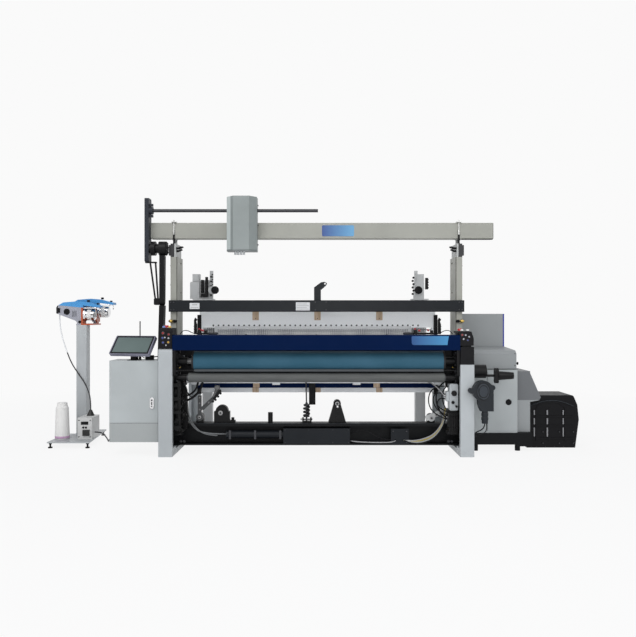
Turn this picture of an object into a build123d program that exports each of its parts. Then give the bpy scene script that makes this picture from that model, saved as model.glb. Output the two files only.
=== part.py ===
from build123d import *
import math
import os

os.makedirs("parts", exist_ok=True)

# Row frame: X along the cloth width, Y from the weaver's side to the warp side, Z up.
# The origin lies on the floor, at the centre of the four anchor holes of the two side frames.

# Side frames
frame_pitch = 2626.0
frame_half = frame_pitch / 2
frame_width = 120.0
frame_depth = 1500.0
left_leg_height = 941.0
right_leg_height = 803.0
frame_shoulder_height = 860.0
frame_rear_height = 690.0
leg_depth = 300.0
frame_rim = 45.0
frame_web = 30.0
anchor_spacing_y = 1300.0
anchor_hole_radius = 9.0
anchor_lug_length = 130.0
anchor_lug_height = 24.0

# Cross beams between the side frames
front_beam_bottom = 50.0
front_beam_height = 200.0
front_beam_depth = 110.0
front_beam_setback = 300.0
channel_wall = 14.0
rear_beam_bottom = 15.0
rear_beam_height = 80.0
rear_beam_depth = 140.0
rear_beam_setback = 1230.0

# Rollers and the plates that carry them
bracket_thickness = 25.0
bracket_depth = 500.0
bracket_bottom = 590.0
bracket_top = 1030.0
bracket_setback = 25.0
running_clearance = 0.05
take_up_radius = 90.0
take_up_height = 825.0
take_up_setback = 150.0
take_up_left = -frame_half + 233.0
take_up_right = frame_half - 193.0
take_up_journal = 22.0
flange_radius = 92.0
flange_thickness = 16.0
press_radius = 42.0
press_height = 683.0
press_setback = 110.0
press_left = -frame_half + 185.0
press_right = frame_half - 183.0
press_journal = 12.0
bearing_boss_length = 84.0

# Breast beam and its folded cover
breast_beam_size = 90.0
breast_beam_bottom = 935.0
cover_bottom = 929.0
cover_height = 132.0
cover_sheet = 4.0
cover_return = 150.0
cover_end_gap = 2.0

# Sley, its rocking shaft and the reed
sley_shaft_radius = 34.0
sley_shaft_height = 640.0
sley_setback = 400.0
sley_beam_height = 76.0
sley_beam_depth = 96.0
sley_beam_bottom = 884.0
sley_side_gap = 103.0
sword_width = 70.0
sword_count = 4
reed_left = -frame_half + 370.0
reed_right = frame_half - 435.0
reed_height = 175.0
reed_thickness = 14.0
reed_baulk = 26.0
reed_gap_count = 110
reed_gap_share = 0.55

# Heald frames
heald_count = 4
heald_pitch = 20.0
heald_thickness = 12.0
heald_setback = 600.0
heald_left = -frame_half + 198.0
heald_right = frame_half - 178.0
heald_bottom = 500.0
heald_top = 1290.0
heald_top_rail = 172.0
heald_bottom_rail = 58.0
heald_stave = 34.0
heald_guide_width = 62.0
heald_guide_height = 102.0
heald_guide_offset = 590.0
groove_clearance = 0.5
guide_foot = 14.0

# Superstructure
post_setback = 450.0
post_inset = 11.0
post_flange_width = 48.0
post_flange_depth = 60.0
post_web = 16.0
post_depth = 255.0
post_top = 1780.0
guard_left = -frame_half - 58.0
guard_right = frame_half + 60.0
guard_bottom = 1267.0
guard_height = 108.0
guard_depth = 40.0
top_beam_left = -frame_half - 237.0
top_beam_right = frame_half + 340.0
top_beam_bottom = 1951.0
top_beam_height = 151.0
top_beam_depth = 100.0
top_beam_setback = 470.0
top_beam_wall = 6.0
hook_bolt_radius = 6.0
hook_bolt_gap = 1.0

# Selvedge unit at the left end of the top beam
column_width = 38.0
column_depth = 112.0
column_bottom = 1732.0
column_top = 2320.0
column_setback = 380.0
selvedge_shaft_radius = 15.5
selvedge_shaft_height = 2206.0
selvedge_shaft_end = 15.0
selvedge_shaft_setback = 415.0
housing_left = -825.0
housing_right = -548.0
housing_facet = 66.0
housing_facet_depth = 70.0
housing_depth = 170.0
housing_bottom = 1824.0
housing_top = 2324.0
housing_sheet = 4.0
carriage_plate = 12.0
carriage_clearance = 0.3

# Values that the pieces share
front_y = -frame_depth / 2
frame_inner = (frame_pitch - frame_width) / 2
frame_outer = (frame_pitch + frame_width) / 2
web_inner = frame_outer - frame_web
take_up_y = front_y + take_up_setback
press_y = front_y + press_setback
bracket_inner = frame_inner - bracket_thickness
sley_y = front_y + sley_setback
heald_y = front_y + heald_setback
post_y = front_y + post_setback
top_beam_y = front_y + top_beam_setback
top_beam_top = top_beam_bottom + top_beam_height


def save(part, name):
    part.label = name
    export_step(part, f"parts/{name}.step")


def slab(x0, x1, y0, y1, z0, z1, mode=Mode.ADD):
    """A square-edged block between two corners, in the part that is being built."""
    with BuildSketch(Plane.XY.offset(min(z0, z1))) as plan:
        with Locations(((x0 + x1) / 2, (y0 + y1) / 2)):
            Rectangle(abs(x1 - x0), abs(y1 - y0))
    extrude(plan.sketch, amount=abs(z1 - z0), mode=mode)


def rod_x(x0, x1, y, z, radius, mode=Mode.ADD):
    """A round bar along X."""
    with BuildSketch(Plane.YZ.offset(min(x0, x1))) as disc:
        with Locations((y, z)):
            Circle(radius)
    extrude(disc.sketch, amount=abs(x1 - x0), mode=mode)


def rod_y(x, y0, y1, z, radius, mode=Mode.ADD):
    """A round bar along Y."""
    with BuildSketch(Plane.XZ.offset(-max(y0, y1))) as disc:
        with Locations((x, z)):
            Circle(radius)
    extrude(disc.sketch, amount=abs(y1 - y0), mode=mode)


def rod_z(x, y, z0, z1, radius, mode=Mode.ADD):
    """A round bar along Z."""
    with BuildSketch(Plane.XY.offset(min(z0, z1))) as disc:
        with Locations((x, y)):
            Circle(radius)
    extrude(disc.sketch, amount=abs(z1 - z0), mode=mode)


# Side frames: one casting each, a web inside a rim, with a foot along the floor and two windows
shoulder_y = front_y + leg_depth
window_gap = 90.0
window_radius = 60.0
foot_height = 150.0
window_front = shoulder_y + window_gap
window_rear = frame_depth / 2 - window_gap
window_mid = (window_front + window_rear) / 2
rim_radius = 30.0
rear_slope = 420.0


def frame_outline(plane, leg_height, inset):
    """The side view of a frame, drawn inwards by inset."""
    low_y = front_y + inset
    high_y = frame_depth / 2 - inset
    with BuildSketch(plane) as outline:
        with BuildLine():
            Polyline(
                (low_y, inset),
                (high_y, inset),
                (high_y, frame_rear_height - inset),
                (high_y - rear_slope, frame_shoulder_height - inset),
                (shoulder_y - inset, frame_shoulder_height - inset),
                (shoulder_y - inset - 40, leg_height - inset),
                (low_y, leg_height - inset),
                close=True,
            )
        make_face()
    return outline.sketch


for side, leg_height, name in (
    (-1, left_leg_height, "left_side_frame"),
    (1, right_leg_height, "right_side_frame"),
):
    outer_x = side * frame_outer
    inner_x = side * frame_inner
    low_x = min(outer_x, inner_x)
    with BuildPart() as side_frame:
        extrude(frame_outline(Plane.YZ.offset(low_x), leg_height, 0), amount=frame_width)
        pocket_x = inner_x if side > 0 else -web_inner
        pocket = frame_outline(Plane.YZ.offset(pocket_x), leg_height, frame_rim)
        extrude(pocket, amount=frame_width - frame_web, mode=Mode.SUBTRACT)
        fillet(side_frame.edges().filter_by(Axis.X).group_by(Axis.Z)[-1], rim_radius)
        with BuildSketch(Plane.YZ.offset(low_x)):
            for y0, y1 in ((window_front, window_mid - 40), (window_mid + 40, window_rear)):
                with Locations(((y0 + y1) / 2, (foot_height + 560) / 2)):
                    RectangleRounded(y1 - y0, 560 - foot_height, window_radius)
        extrude(amount=frame_width, mode=Mode.SUBTRACT)
        for end in (-1, 1):
            lug_y = end * anchor_spacing_y / 2
            slab(
                side * web_inner,
                inner_x,
                lug_y - anchor_lug_length / 2,
                lug_y + anchor_lug_length / 2,
                0,
                frame_rim + anchor_lug_height,
            )
            rod_z(
                side * frame_pitch / 2,
                lug_y,
                0,
                frame_rim + anchor_lug_height,
                anchor_hole_radius,
                Mode.SUBTRACT,
            )
    save(side_frame.part, name)

# Front cross beam: a channel that opens to the front, with its cable trunk inside
beam_y = front_y + front_beam_setback
beam_top = front_beam_bottom + front_beam_height
with BuildPart() as front_cross_beam:
    with BuildSketch(Plane.YZ.offset(-web_inner)):
        with BuildLine():
            Polyline(
                (beam_y, front_beam_bottom),
                (beam_y + front_beam_depth, front_beam_bottom),
                (beam_y + front_beam_depth, beam_top),
                (beam_y, beam_top),
                (beam_y, beam_top - channel_wall * 2),
                (beam_y + channel_wall, beam_top - channel_wall * 2),
                (beam_y + channel_wall, beam_top - channel_wall),
                (beam_y + front_beam_depth - channel_wall, beam_top - channel_wall),
                (beam_y + front_beam_depth - channel_wall, front_beam_bottom + channel_wall),
                (beam_y, front_beam_bottom + channel_wall),
                close=True,
            )
        make_face()
    extrude(amount=web_inner * 2)
save(front_cross_beam.part, "front_cross_beam")

# Rear cross beam: a flat box section with an end plate against each frame's rim
rear_beam_y = front_y + rear_beam_setback
rear_beam_wall = 8.0
end_plate = 20.0
end_plate_margin = 60.0
rear_beam_mid_y = rear_beam_y + rear_beam_depth / 2
rear_beam_mid_z = rear_beam_bottom + rear_beam_height / 2
with BuildPart() as rear_cross_beam:
    with BuildSketch(Plane.YZ.offset(-frame_inner)):
        with Locations((rear_beam_mid_y, rear_beam_mid_z)):
            RectangleRounded(rear_beam_depth, rear_beam_height, 14)
            RectangleRounded(
                rear_beam_depth - 2 * rear_beam_wall,
                rear_beam_height - 2 * rear_beam_wall,
                6,
                mode=Mode.SUBTRACT,
            )
    extrude(amount=frame_inner * 2)
    for x0, x1 in ((-frame_inner, -frame_inner + end_plate), (frame_inner - end_plate, frame_inner)):
        slab(
            x0,
            x1,
            rear_beam_y - end_plate_margin,
            rear_beam_y + rear_beam_depth + end_plate_margin,
            rear_beam_bottom,
            rear_beam_bottom + rear_beam_height,
        )
save(rear_cross_beam.part, "rear_cross_beam")

# Roller brackets: one cast plate inside each side frame, with a bearing boss for every roller
boss_wall = 16.0
bracket_y = front_y + bracket_setback
plate_nose = 120.0
with BuildPart() as roller_brackets:
    for side in (-1, 1):
        plate_x = min(side * bracket_inner, side * frame_inner)
        with BuildSketch(Plane.YZ.offset(plate_x)):
            with BuildLine():
                Polyline(
                    (bracket_y, bracket_bottom + plate_nose),
                    (bracket_y + plate_nose, bracket_bottom),
                    (bracket_y + bracket_depth, bracket_bottom),
                    (bracket_y + bracket_depth, bracket_top - 3 * plate_nose),
                    (bracket_y + bracket_depth / 2, bracket_top),
                    (bracket_y, bracket_top),
                    close=True,
                )
            make_face()
        extrude(amount=bracket_thickness)
        for y, z, radius in (
            (take_up_y, take_up_height, take_up_journal),
            (press_y, press_height, press_journal),
            (sley_y, sley_shaft_height, sley_shaft_radius),
        ):
            reach = bearing_boss_length if radius < sley_shaft_radius else bearing_boss_length / 3
            rod_x(side * bracket_inner, side * (bracket_inner - reach), y, z, radius + boss_wall)
            rod_x(
                side * frame_inner,
                side * (bracket_inner - reach),
                y,
                z,
                radius + running_clearance,
                Mode.SUBTRACT,
            )
save(roller_brackets.part, "roller_brackets")

# Take-up roller: covered body, an end flange each side, and a journal in each bracket
journal_end = frame_inner - 3.0
with BuildPart() as take_up_roller:
    rod_x(take_up_left, take_up_right, take_up_y, take_up_height, take_up_radius)
    rod_x(take_up_left, take_up_left - flange_thickness, take_up_y, take_up_height, flange_radius)
    rod_x(take_up_right, take_up_right + flange_thickness, take_up_y, take_up_height, flange_radius)
    rod_x(-journal_end, journal_end, take_up_y, take_up_height, take_up_journal)
save(take_up_roller.part, "take_up_roller")

# Press roller: a plain steel tube on thin journals, below the take-up roller
with BuildPart() as press_roller:
    rod_x(press_left, press_right, press_y, press_height, press_radius)
    rod_x(-journal_end, journal_end, press_y, press_height, press_journal)
save(press_roller.part, "press_roller")

# Breast beam: a square tube between the roller brackets
breast_y = front_y + cover_sheet
breast_wall = 8.0
with BuildPart() as breast_beam:
    with BuildSketch(Plane.YZ.offset(-bracket_inner)):
        with Locations((breast_y + breast_beam_size / 2, breast_beam_bottom + breast_beam_size / 2)):
            RectangleRounded(breast_beam_size, breast_beam_size, 12)
            inner = breast_beam_size - 2 * breast_wall
            RectangleRounded(inner, inner, 4, mode=Mode.SUBTRACT)
    extrude(amount=bracket_inner * 2)
save(breast_beam.part, "breast_beam")

# Breast beam cover: one folded sheet, flat at the front and returned over the beam
cover_left = -frame_inner + cover_end_gap
cover_right = frame_inner - cover_end_gap
cover_top = cover_bottom + cover_height
with BuildPart() as breast_beam_cover:
    with BuildSketch(Plane.YZ.offset(cover_left)):
        with BuildLine():
            FilletPolyline(
                (breast_y - cover_sheet / 2, cover_bottom),
                (breast_y - cover_sheet / 2, cover_top - 12),
                (breast_y + 12, cover_top - cover_sheet / 2),
                (breast_y + cover_return, cover_top - cover_sheet / 2),
                radius=8,
            )
        trace(line_width=cover_sheet)
    extrude(amount=cover_right - cover_left)
save(breast_beam_cover.part, "breast_beam_cover")

# Sley: beam, short swords and rocking shaft, one weldment that swings on the shaft
sley_beam_y = sley_y - sley_beam_depth / 2
sley_beam_top = sley_beam_bottom + sley_beam_height
sley_beam_half_length = frame_inner - sley_side_gap
with BuildPart() as sley:
    rod_x(-journal_end, journal_end, sley_y, sley_shaft_height, sley_shaft_radius)
    slab(
        -sley_beam_half_length,
        sley_beam_half_length,
        sley_beam_y,
        sley_beam_y + sley_beam_depth,
        sley_beam_bottom,
        sley_beam_top,
    )
    sword_pitch = (2 * sley_beam_half_length - sword_width) / (sword_count - 1)
    for i in range(sword_count):
        x = -sley_beam_half_length + i * sword_pitch
        with BuildSketch(Plane.YZ.offset(x)):
            with Locations((sley_y, sley_shaft_height)):
                Circle(sley_shaft_radius + boss_wall)
            with BuildLine():
                Polyline(
                    (sley_y - sley_shaft_radius - boss_wall, sley_shaft_height),
                    (sley_y + sley_shaft_radius + boss_wall, sley_shaft_height),
                    (sley_y + sley_beam_depth / 3, sley_beam_bottom),
                    (sley_y - sley_beam_depth / 3, sley_beam_bottom),
                    close=True,
                )
            make_face()
        extrude(amount=sword_width)
save(sley.part, "sley")

# Reed: top and bottom baulks with the dents between them, one upright solid in the sley
reed_bottom = sley_beam_top
with BuildPart() as reed:
    slab(
        reed_left,
        reed_right,
        sley_y - reed_thickness / 2,
        sley_y + reed_thickness / 2,
        reed_bottom,
        reed_bottom + reed_height,
    )
    dent_pitch = (reed_right - reed_left - 2 * reed_baulk) / reed_gap_count
    dent_height = reed_height - 2 * reed_baulk
    with BuildSketch(Plane.XZ.offset(-sley_y - reed_thickness / 2)):
        with Locations(((reed_left + reed_right) / 2, reed_bottom + reed_height / 2)):
            with GridLocations(dent_pitch, 0, reed_gap_count, 1):
                Rectangle(dent_pitch * reed_gap_share, dent_height)
    extrude(amount=reed_thickness, mode=Mode.SUBTRACT)
save(reed.part, "reed")

# Heald frames: two rails, two end staves and the guide blocks that keep neighbouring frames apart
for first, name in ((0, "heald_frames_odd"), (1, "heald_frames_even")):
    with BuildPart() as heald_frames:
        for i in range(first, heald_count, 2):
            y0 = heald_y + i * heald_pitch
            y1 = y0 + heald_thickness
            slab(
                heald_left + heald_stave,
                heald_right - heald_stave,
                y0,
                y1,
                heald_top - heald_top_rail,
                heald_top,
            )
            slab(
                heald_left + heald_stave,
                heald_right - heald_stave,
                y0,
                y1,
                heald_bottom,
                heald_bottom + heald_bottom_rail,
            )
            with BuildSketch(Plane.XY.offset(heald_bottom)):
                for x in (heald_left + heald_stave / 2, heald_right - heald_stave / 2):
                    with Locations((x, (y0 + y1) / 2)):
                        Rectangle(heald_stave, heald_thickness)
            extrude(amount=heald_top - heald_bottom)
            middle_x = (heald_left + heald_right) / 2
            block_front = y0 - (heald_pitch - heald_thickness) + groove_clearance
            for x in (middle_x - heald_guide_offset, middle_x, middle_x + heald_guide_offset):
                for z in (heald_top - heald_guide_height, heald_bottom):
                    height = heald_guide_height if z > heald_bottom else heald_bottom_rail
                    slab(x - heald_guide_width / 2, x + heald_guide_width / 2, block_front, y0, z, z + height)
    save(heald_frames.part, name)

# Heald guides: a grooved upright each side on an arm from the side frame; the frames rest on its foot
guide_depth = heald_count * heald_pitch + 24
guide_y = heald_y - 16
guide_bottom = heald_bottom - guide_foot
guide_top = 1240.0
guide_width = 36.0
groove_depth = 16.0
guide_arm_height = 60.0
with BuildPart() as heald_guides:
    for side, heald_end in ((-1, heald_left), (1, heald_right)):
        inner_face = heald_end - side * groove_depth
        outer_face = inner_face + side * guide_width
        slab(inner_face, outer_face, guide_y, guide_y + guide_depth, guide_bottom, guide_top)
        for i in range(heald_count):
            y0 = heald_y + i * heald_pitch - groove_clearance
            slab(
                inner_face,
                heald_end + side * groove_clearance,
                y0,
                y0 + heald_thickness + 2 * groove_clearance,
                heald_bottom,
                guide_top,
                Mode.SUBTRACT,
            )
        slab(
            outer_face,
            side * frame_inner,
            guide_y,
            guide_y + guide_depth,
            frame_shoulder_height - frame_rim,
            frame_shoulder_height - frame_rim + guide_arm_height,
        )
save(heald_guides.part, "heald_guides")

# Upper posts: an extruded section of front flange and web, standing on each side frame
post_outer = frame_outer - post_inset
post_inner = post_outer - post_flange_width
with BuildPart() as upper_posts:
    for side in (-1, 1):
        slab(
            side * post_outer,
            side * post_inner,
            post_y,
            post_y + post_flange_depth,
            frame_shoulder_height,
            post_top,
        )
        slab(
            side * post_inner,
            side * (post_inner - post_web),
            post_y,
            post_y + post_depth,
            frame_shoulder_height,
            post_top,
        )
        with BuildSketch(Plane.YZ.offset(min(side * post_inner, side * (post_inner - post_web)))):
            for z in (post_top - 50, post_top - 330):
                with Locations((post_y + post_depth * 0.62, z)):
                    SlotOverall(90, 16)
        extrude(amount=post_web, mode=Mode.SUBTRACT)
save(upper_posts.part, "upper_posts")

# Guard bar across both posts, with the bracket that carries the lamp lead
guard_y = post_y - guard_depth
guard_wall = 5.0
with BuildPart() as guard_bar:
    with BuildSketch(Plane.YZ.offset(guard_left)):
        with Locations((guard_y + guard_depth / 2, guard_bottom + guard_height / 2)):
            RectangleRounded(guard_depth, guard_height, 6)
            RectangleRounded(
                guard_depth - 2 * guard_wall, guard_height - 2 * guard_wall, 2, mode=Mode.SUBTRACT
            )
    extrude(amount=guard_right - guard_left)

hanger_left = -22.0
hanger_right = 42.0
hanger_top = 1496.0
hanger_tip_x = 84.0
hanger_tip_z = 1530.0
hanger_plate = 12.0
with BuildPart() as hanger_bracket:
    with BuildSketch(Plane.XZ.offset(-post_y - hanger_plate)):
        with BuildLine():
            Polyline(
                (hanger_left, guard_bottom + 30),
                (hanger_right, guard_bottom + 30),
                (hanger_right, hanger_top - 26),
                (hanger_tip_x + 6, hanger_tip_z - 18),
                (hanger_tip_x + 18, hanger_tip_z + 4),
                (hanger_tip_x - 8, hanger_tip_z + 18),
                (hanger_tip_x - 40, hanger_tip_z + 14),
                (hanger_left, hanger_top),
                close=True,
            )
        make_face()
        with Locations((hanger_tip_x - 4, hanger_tip_z)):
            Circle(8, mode=Mode.SUBTRACT)
    extrude(amount=hanger_plate)
    fillet(hanger_bracket.edges().filter_by(Axis.Y).sort_by(Axis.X)[-2:], 8)
guard_and_hanger = Compound([guard_bar.part.solid(), hanger_bracket.part.solid()])
save(guard_and_hanger, "guard_bar")

# Top beam: a hollow section carried by a bracket on each post and held by hook bolts
with BuildPart() as top_beam:
    with BuildSketch(Plane.YZ.offset(top_beam_left)):
        with Locations((top_beam_y + top_beam_depth / 2, top_beam_bottom + top_beam_height / 2)):
            RectangleRounded(top_beam_depth, top_beam_height, 9)
            RectangleRounded(
                top_beam_depth - 2 * top_beam_wall,
                top_beam_height - 2 * top_beam_wall,
                3,
                mode=Mode.SUBTRACT,
            )
    extrude(amount=top_beam_right - top_beam_left)
save(top_beam.part, "top_beam")

# Beam brackets: a plate on each post with a clamp box, and a screw with a pad that carries the beam
beam_bracket_height = 125.0
beam_bracket_plate = 14.0
beam_bracket_web_x = post_outer - 36
clamp_outer = post_outer + 16
clamp_depth = 50.0
stud_radius = 12.0
pad_radius = 24.0
pad_thickness = 8.0
beam_bracket_top = post_top + beam_bracket_height
stud_x = beam_bracket_web_x + 7
with BuildPart() as beam_saddles:
    for side in (-1, 1):
        slab(
            side * post_outer,
            side * (beam_bracket_web_x - beam_bracket_plate),
            post_y,
            post_y + post_depth,
            post_top,
            post_top + beam_bracket_plate,
        )
        slab(
            side * beam_bracket_web_x,
            side * (beam_bracket_web_x - beam_bracket_plate),
            post_y,
            post_y + post_depth,
            post_top + beam_bracket_plate,
            beam_bracket_top,
        )
        slab(
            side * clamp_outer,
            side * beam_bracket_web_x,
            post_y,
            post_y + clamp_depth,
            post_top + beam_bracket_plate,
            beam_bracket_top - beam_bracket_plate,
        )
        slab(
            side * post_outer,
            side * beam_bracket_web_x,
            post_y,
            top_beam_y + top_beam_depth + clamp_depth,
            beam_bracket_top - beam_bracket_plate,
            beam_bracket_top,
        )
        beam_mid_y = top_beam_y + top_beam_depth / 2
        rod_z(side * stud_x, beam_mid_y, beam_bracket_top, top_beam_bottom - pad_thickness, stud_radius)
        rod_z(side * stud_x, beam_mid_y, beam_bracket_top, beam_bracket_top + 14, stud_radius + 9)
        rod_z(side * stud_x, beam_mid_y, top_beam_bottom - pad_thickness, top_beam_bottom, pad_radius)
        for y in (
            top_beam_y - hook_bolt_gap - hook_bolt_radius,
            top_beam_y + top_beam_depth + hook_bolt_gap + hook_bolt_radius,
        ):
            rod_z(
                side * stud_x,
                y,
                beam_bracket_top - beam_bracket_plate,
                beam_bracket_top,
                hook_bolt_radius + 0.5,
                Mode.SUBTRACT,
            )
save(beam_saddles.part, "beam_saddles")

# Selvedge column: a closed gear case at the beam's left end, with the shaft's bearing on its flank
column_y = front_y + column_setback
column_right = top_beam_left
shaft_y = front_y + selvedge_shaft_setback
bearing_length = 34.0
with BuildPart() as selvedge_column:
    slab(
        column_right - column_width,
        column_right,
        column_y,
        column_y + column_depth,
        column_bottom,
        column_top,
    )
    fillet(selvedge_column.edges().filter_by(Axis.X), 12)
    rod_x(
        column_right,
        column_right + bearing_length,
        shaft_y,
        selvedge_shaft_height,
        selvedge_shaft_radius + 20,
    )
    for z in (selvedge_shaft_height - 62, selvedge_shaft_height + 40):
        slab(column_right, column_right + bearing_length, shaft_y - 14, shaft_y + 14, z, z + 22)
    rod_x(
        column_right - column_width / 2,
        column_right + bearing_length,
        shaft_y,
        selvedge_shaft_height,
        selvedge_shaft_radius + running_clearance,
        Mode.SUBTRACT,
    )
save(selvedge_column.part, "selvedge_column")

with BuildPart() as selvedge_shaft:
    rod_x(
        column_right - column_width / 2 + 1,
        selvedge_shaft_end,
        shaft_y,
        selvedge_shaft_height,
        selvedge_shaft_radius,
    )
    chamfer(selvedge_shaft.edges().filter_by(GeomType.CIRCLE), 2)
save(selvedge_shaft.part, "selvedge_shaft")

# Selvedge housing: a bent sheet hood of five facets, open at the back and closed by end sheets
hood_back = top_beam_y - carriage_plate - carriage_clearance
hood_front = hood_back - housing_depth


def hood_plan(inset):
    """The hood's outline from above, drawn inwards by inset."""
    return (
        (housing_left + inset, hood_back),
        (housing_left + inset, hood_front + housing_facet_depth + inset / 2),
        (housing_left + housing_facet + inset / 2, hood_front + inset),
        (housing_right - housing_facet - inset / 2, hood_front + inset),
        (housing_right - inset, hood_front + housing_facet_depth + inset / 2),
        (housing_right - inset, hood_back),
    )


# Selvedge carriage: the saddle that hangs on the top beam and carries the hood and the outlets
carriage_front = top_beam_y - carriage_clearance - carriage_plate
carriage_rear = top_beam_y + top_beam_depth + carriage_clearance + carriage_plate
carriage_top = top_beam_top + carriage_clearance
outlet_radius = 11.0
outlet_drop = 32.0
with BuildPart() as selvedge_housing:
    with BuildSketch(Plane.XY.offset(housing_bottom)):
        with BuildLine():
            Polyline(*hood_plan(0), close=True)
        make_face()
    extrude(amount=housing_top - housing_bottom)
    with BuildSketch(Plane.XY.offset(housing_bottom + housing_sheet)):
        with BuildLine():
            Polyline(*hood_plan(housing_sheet), close=True)
        make_face()
    extrude(amount=housing_top - housing_bottom - 2 * housing_sheet, mode=Mode.SUBTRACT)
    rod_x(
        housing_left,
        housing_right,
        shaft_y,
        selvedge_shaft_height,
        selvedge_shaft_radius + 6,
        Mode.SUBTRACT,
    )

    slab(
        housing_left,
        housing_right,
        carriage_front,
        carriage_front + carriage_plate,
        housing_bottom,
        housing_top,
    )
    slab(
        housing_left + 30,
        housing_right - 30,
        carriage_front + carriage_plate,
        carriage_rear,
        carriage_top,
        carriage_top + carriage_plate,
    )
    slab(
        housing_left + 30,
        housing_right - 30,
        carriage_rear - carriage_plate,
        carriage_rear,
        top_beam_bottom,
        carriage_top,
    )
    for i in range(4):
        rod_z(
            housing_left + 78 + i * 26,
            hood_front + housing_depth / 2,
            housing_bottom - outlet_drop,
            housing_bottom,
            outlet_radius,
        )
save(selvedge_housing.part, "selvedge_housing")

# Selvedge drive: hub on the column's flank and a two-part belt case down to the side frame
hub_height = 1855.0
hub_y = front_y + 425.0
hub_radius = 66.0
hub_left = column_right + 17.0
hub_neck_radius = 43.0
hub_disc = 40.0
hub_neck_right = -frame_half - 147.0
hub_right = -frame_half - 73.0
with BuildPart() as drive_hub:
    rod_x(column_right, hub_left, hub_y, hub_height, hub_neck_radius)
    rod_x(hub_left, hub_left + hub_disc, hub_y, hub_height, hub_radius)
    rod_x(hub_left + hub_disc, hub_neck_right, hub_y, hub_height, hub_neck_radius)
    rod_x(hub_neck_right, hub_right, hub_y, hub_height, hub_radius)
    chamfer(drive_hub.edges().filter_by(GeomType.CIRCLE).sort_by(Axis.X)[-1], 8)
save(drive_hub.part, "drive_hub")

# Upper belt case: widest at the hub, tapering towards the elbow
elbow_height = 1362.0
elbow_y = hub_y - 10.0
elbow_radius = 36.0
elbow_half = 33.0
case_left = -frame_half - 139.0
case_width = 44.0
hub_gap = 0.3
with BuildPart() as upper_belt_case:
    with BuildSketch(Plane.YZ.offset(case_left)):
        with BuildLine():
            Polyline(
                (hub_y - hub_neck_radius, hub_height - hub_radius),
                (hub_y + hub_neck_radius, hub_height - hub_radius),
                (elbow_y + elbow_radius, elbow_height),
                (elbow_y - elbow_radius, elbow_height),
                close=True,
            )
        make_face()
        with Locations((elbow_y, elbow_height)):
            Circle(elbow_radius)
        with Locations((hub_y, hub_height)):
            Circle(hub_radius + hub_gap, mode=Mode.SUBTRACT)
    extrude(amount=case_width)
    fillet(upper_belt_case.edges().group_by(Axis.X)[-1], 5)

# Lower belt case: from the elbow down and outwards, bolted to the frame by its foot boss
lower_case_bottom = 700.0
lower_case_y = elbow_y + 8.0
lower_case_half = 40.0
lower_case_shift = 20.0
foot_boss_rise = 60.0
with BuildPart() as lower_belt_case:
    with BuildSketch(Plane.XZ.offset(-lower_case_y - lower_case_half)):
        with BuildLine():
            Polyline(
                (case_left - 2, elbow_height - elbow_radius - hub_gap),
                (case_left + case_width, elbow_height - elbow_radius - hub_gap),
                (case_left + case_width - lower_case_shift, lower_case_bottom),
                (case_left - lower_case_shift, lower_case_bottom),
                close=True,
            )
        make_face()
    extrude(amount=2 * lower_case_half)
    fillet(lower_belt_case.edges().filter_by(Axis.X).group_by(Axis.Z)[0], 20)
    rod_x(
        case_left + case_width - lower_case_shift - 4,
        -frame_outer,
        lower_case_y,
        lower_case_bottom + foot_boss_rise,
        30,
    )

# Elbow knuckle: the cross bar that clamps both cases, and takes the brace rods
knuckle_left = -frame_half - 191.0
knuckle_drop = 32.0
with BuildPart() as elbow_knuckle:
    slab(
        knuckle_left,
        case_left - hub_gap,
        elbow_y - 26,
        elbow_y + 26,
        elbow_height - knuckle_drop,
        elbow_height + knuckle_drop,
    )
    fillet(elbow_knuckle.edges().filter_by(Axis.Y), 12)

# Brace: a plate under the column with two flat bars down to the knuckle
brace_plate = 12.0
brace_bar = 14.0
brace_top_left = -frame_half - 222.0
brace_top_right = -frame_half - 173.0
brace_foot_left = -frame_half - 191.0
brace_foot_right = -frame_half - 165.0
with BuildPart() as brace_rods:
    slab(
        column_right - column_width,
        brace_top_right,
        hub_y - 22,
        hub_y + 22,
        column_bottom - brace_plate,
        column_bottom,
    )
    for top_x, foot_x in ((brace_top_left, brace_foot_left), (brace_top_right, brace_foot_right)):
        with BuildSketch(Plane.XZ.offset(-elbow_y - brace_bar / 2)):
            with BuildLine():
                Polyline(
                    (top_x, column_bottom - brace_plate),
                    (top_x - brace_bar, column_bottom - brace_plate),
                    (foot_x, elbow_height + knuckle_drop),
                    (foot_x + brace_bar, elbow_height + knuckle_drop),
                    close=True,
                )
            make_face()
        extrude(amount=brace_bar)

selvedge_drive_arm = Compound(
    [upper_belt_case.part.solid(), lower_belt_case.part.solid(), elbow_knuckle.part.solid()]
    + list(brace_rods.part.solids())
)
save(selvedge_drive_arm, "selvedge_drive_arm")

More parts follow.
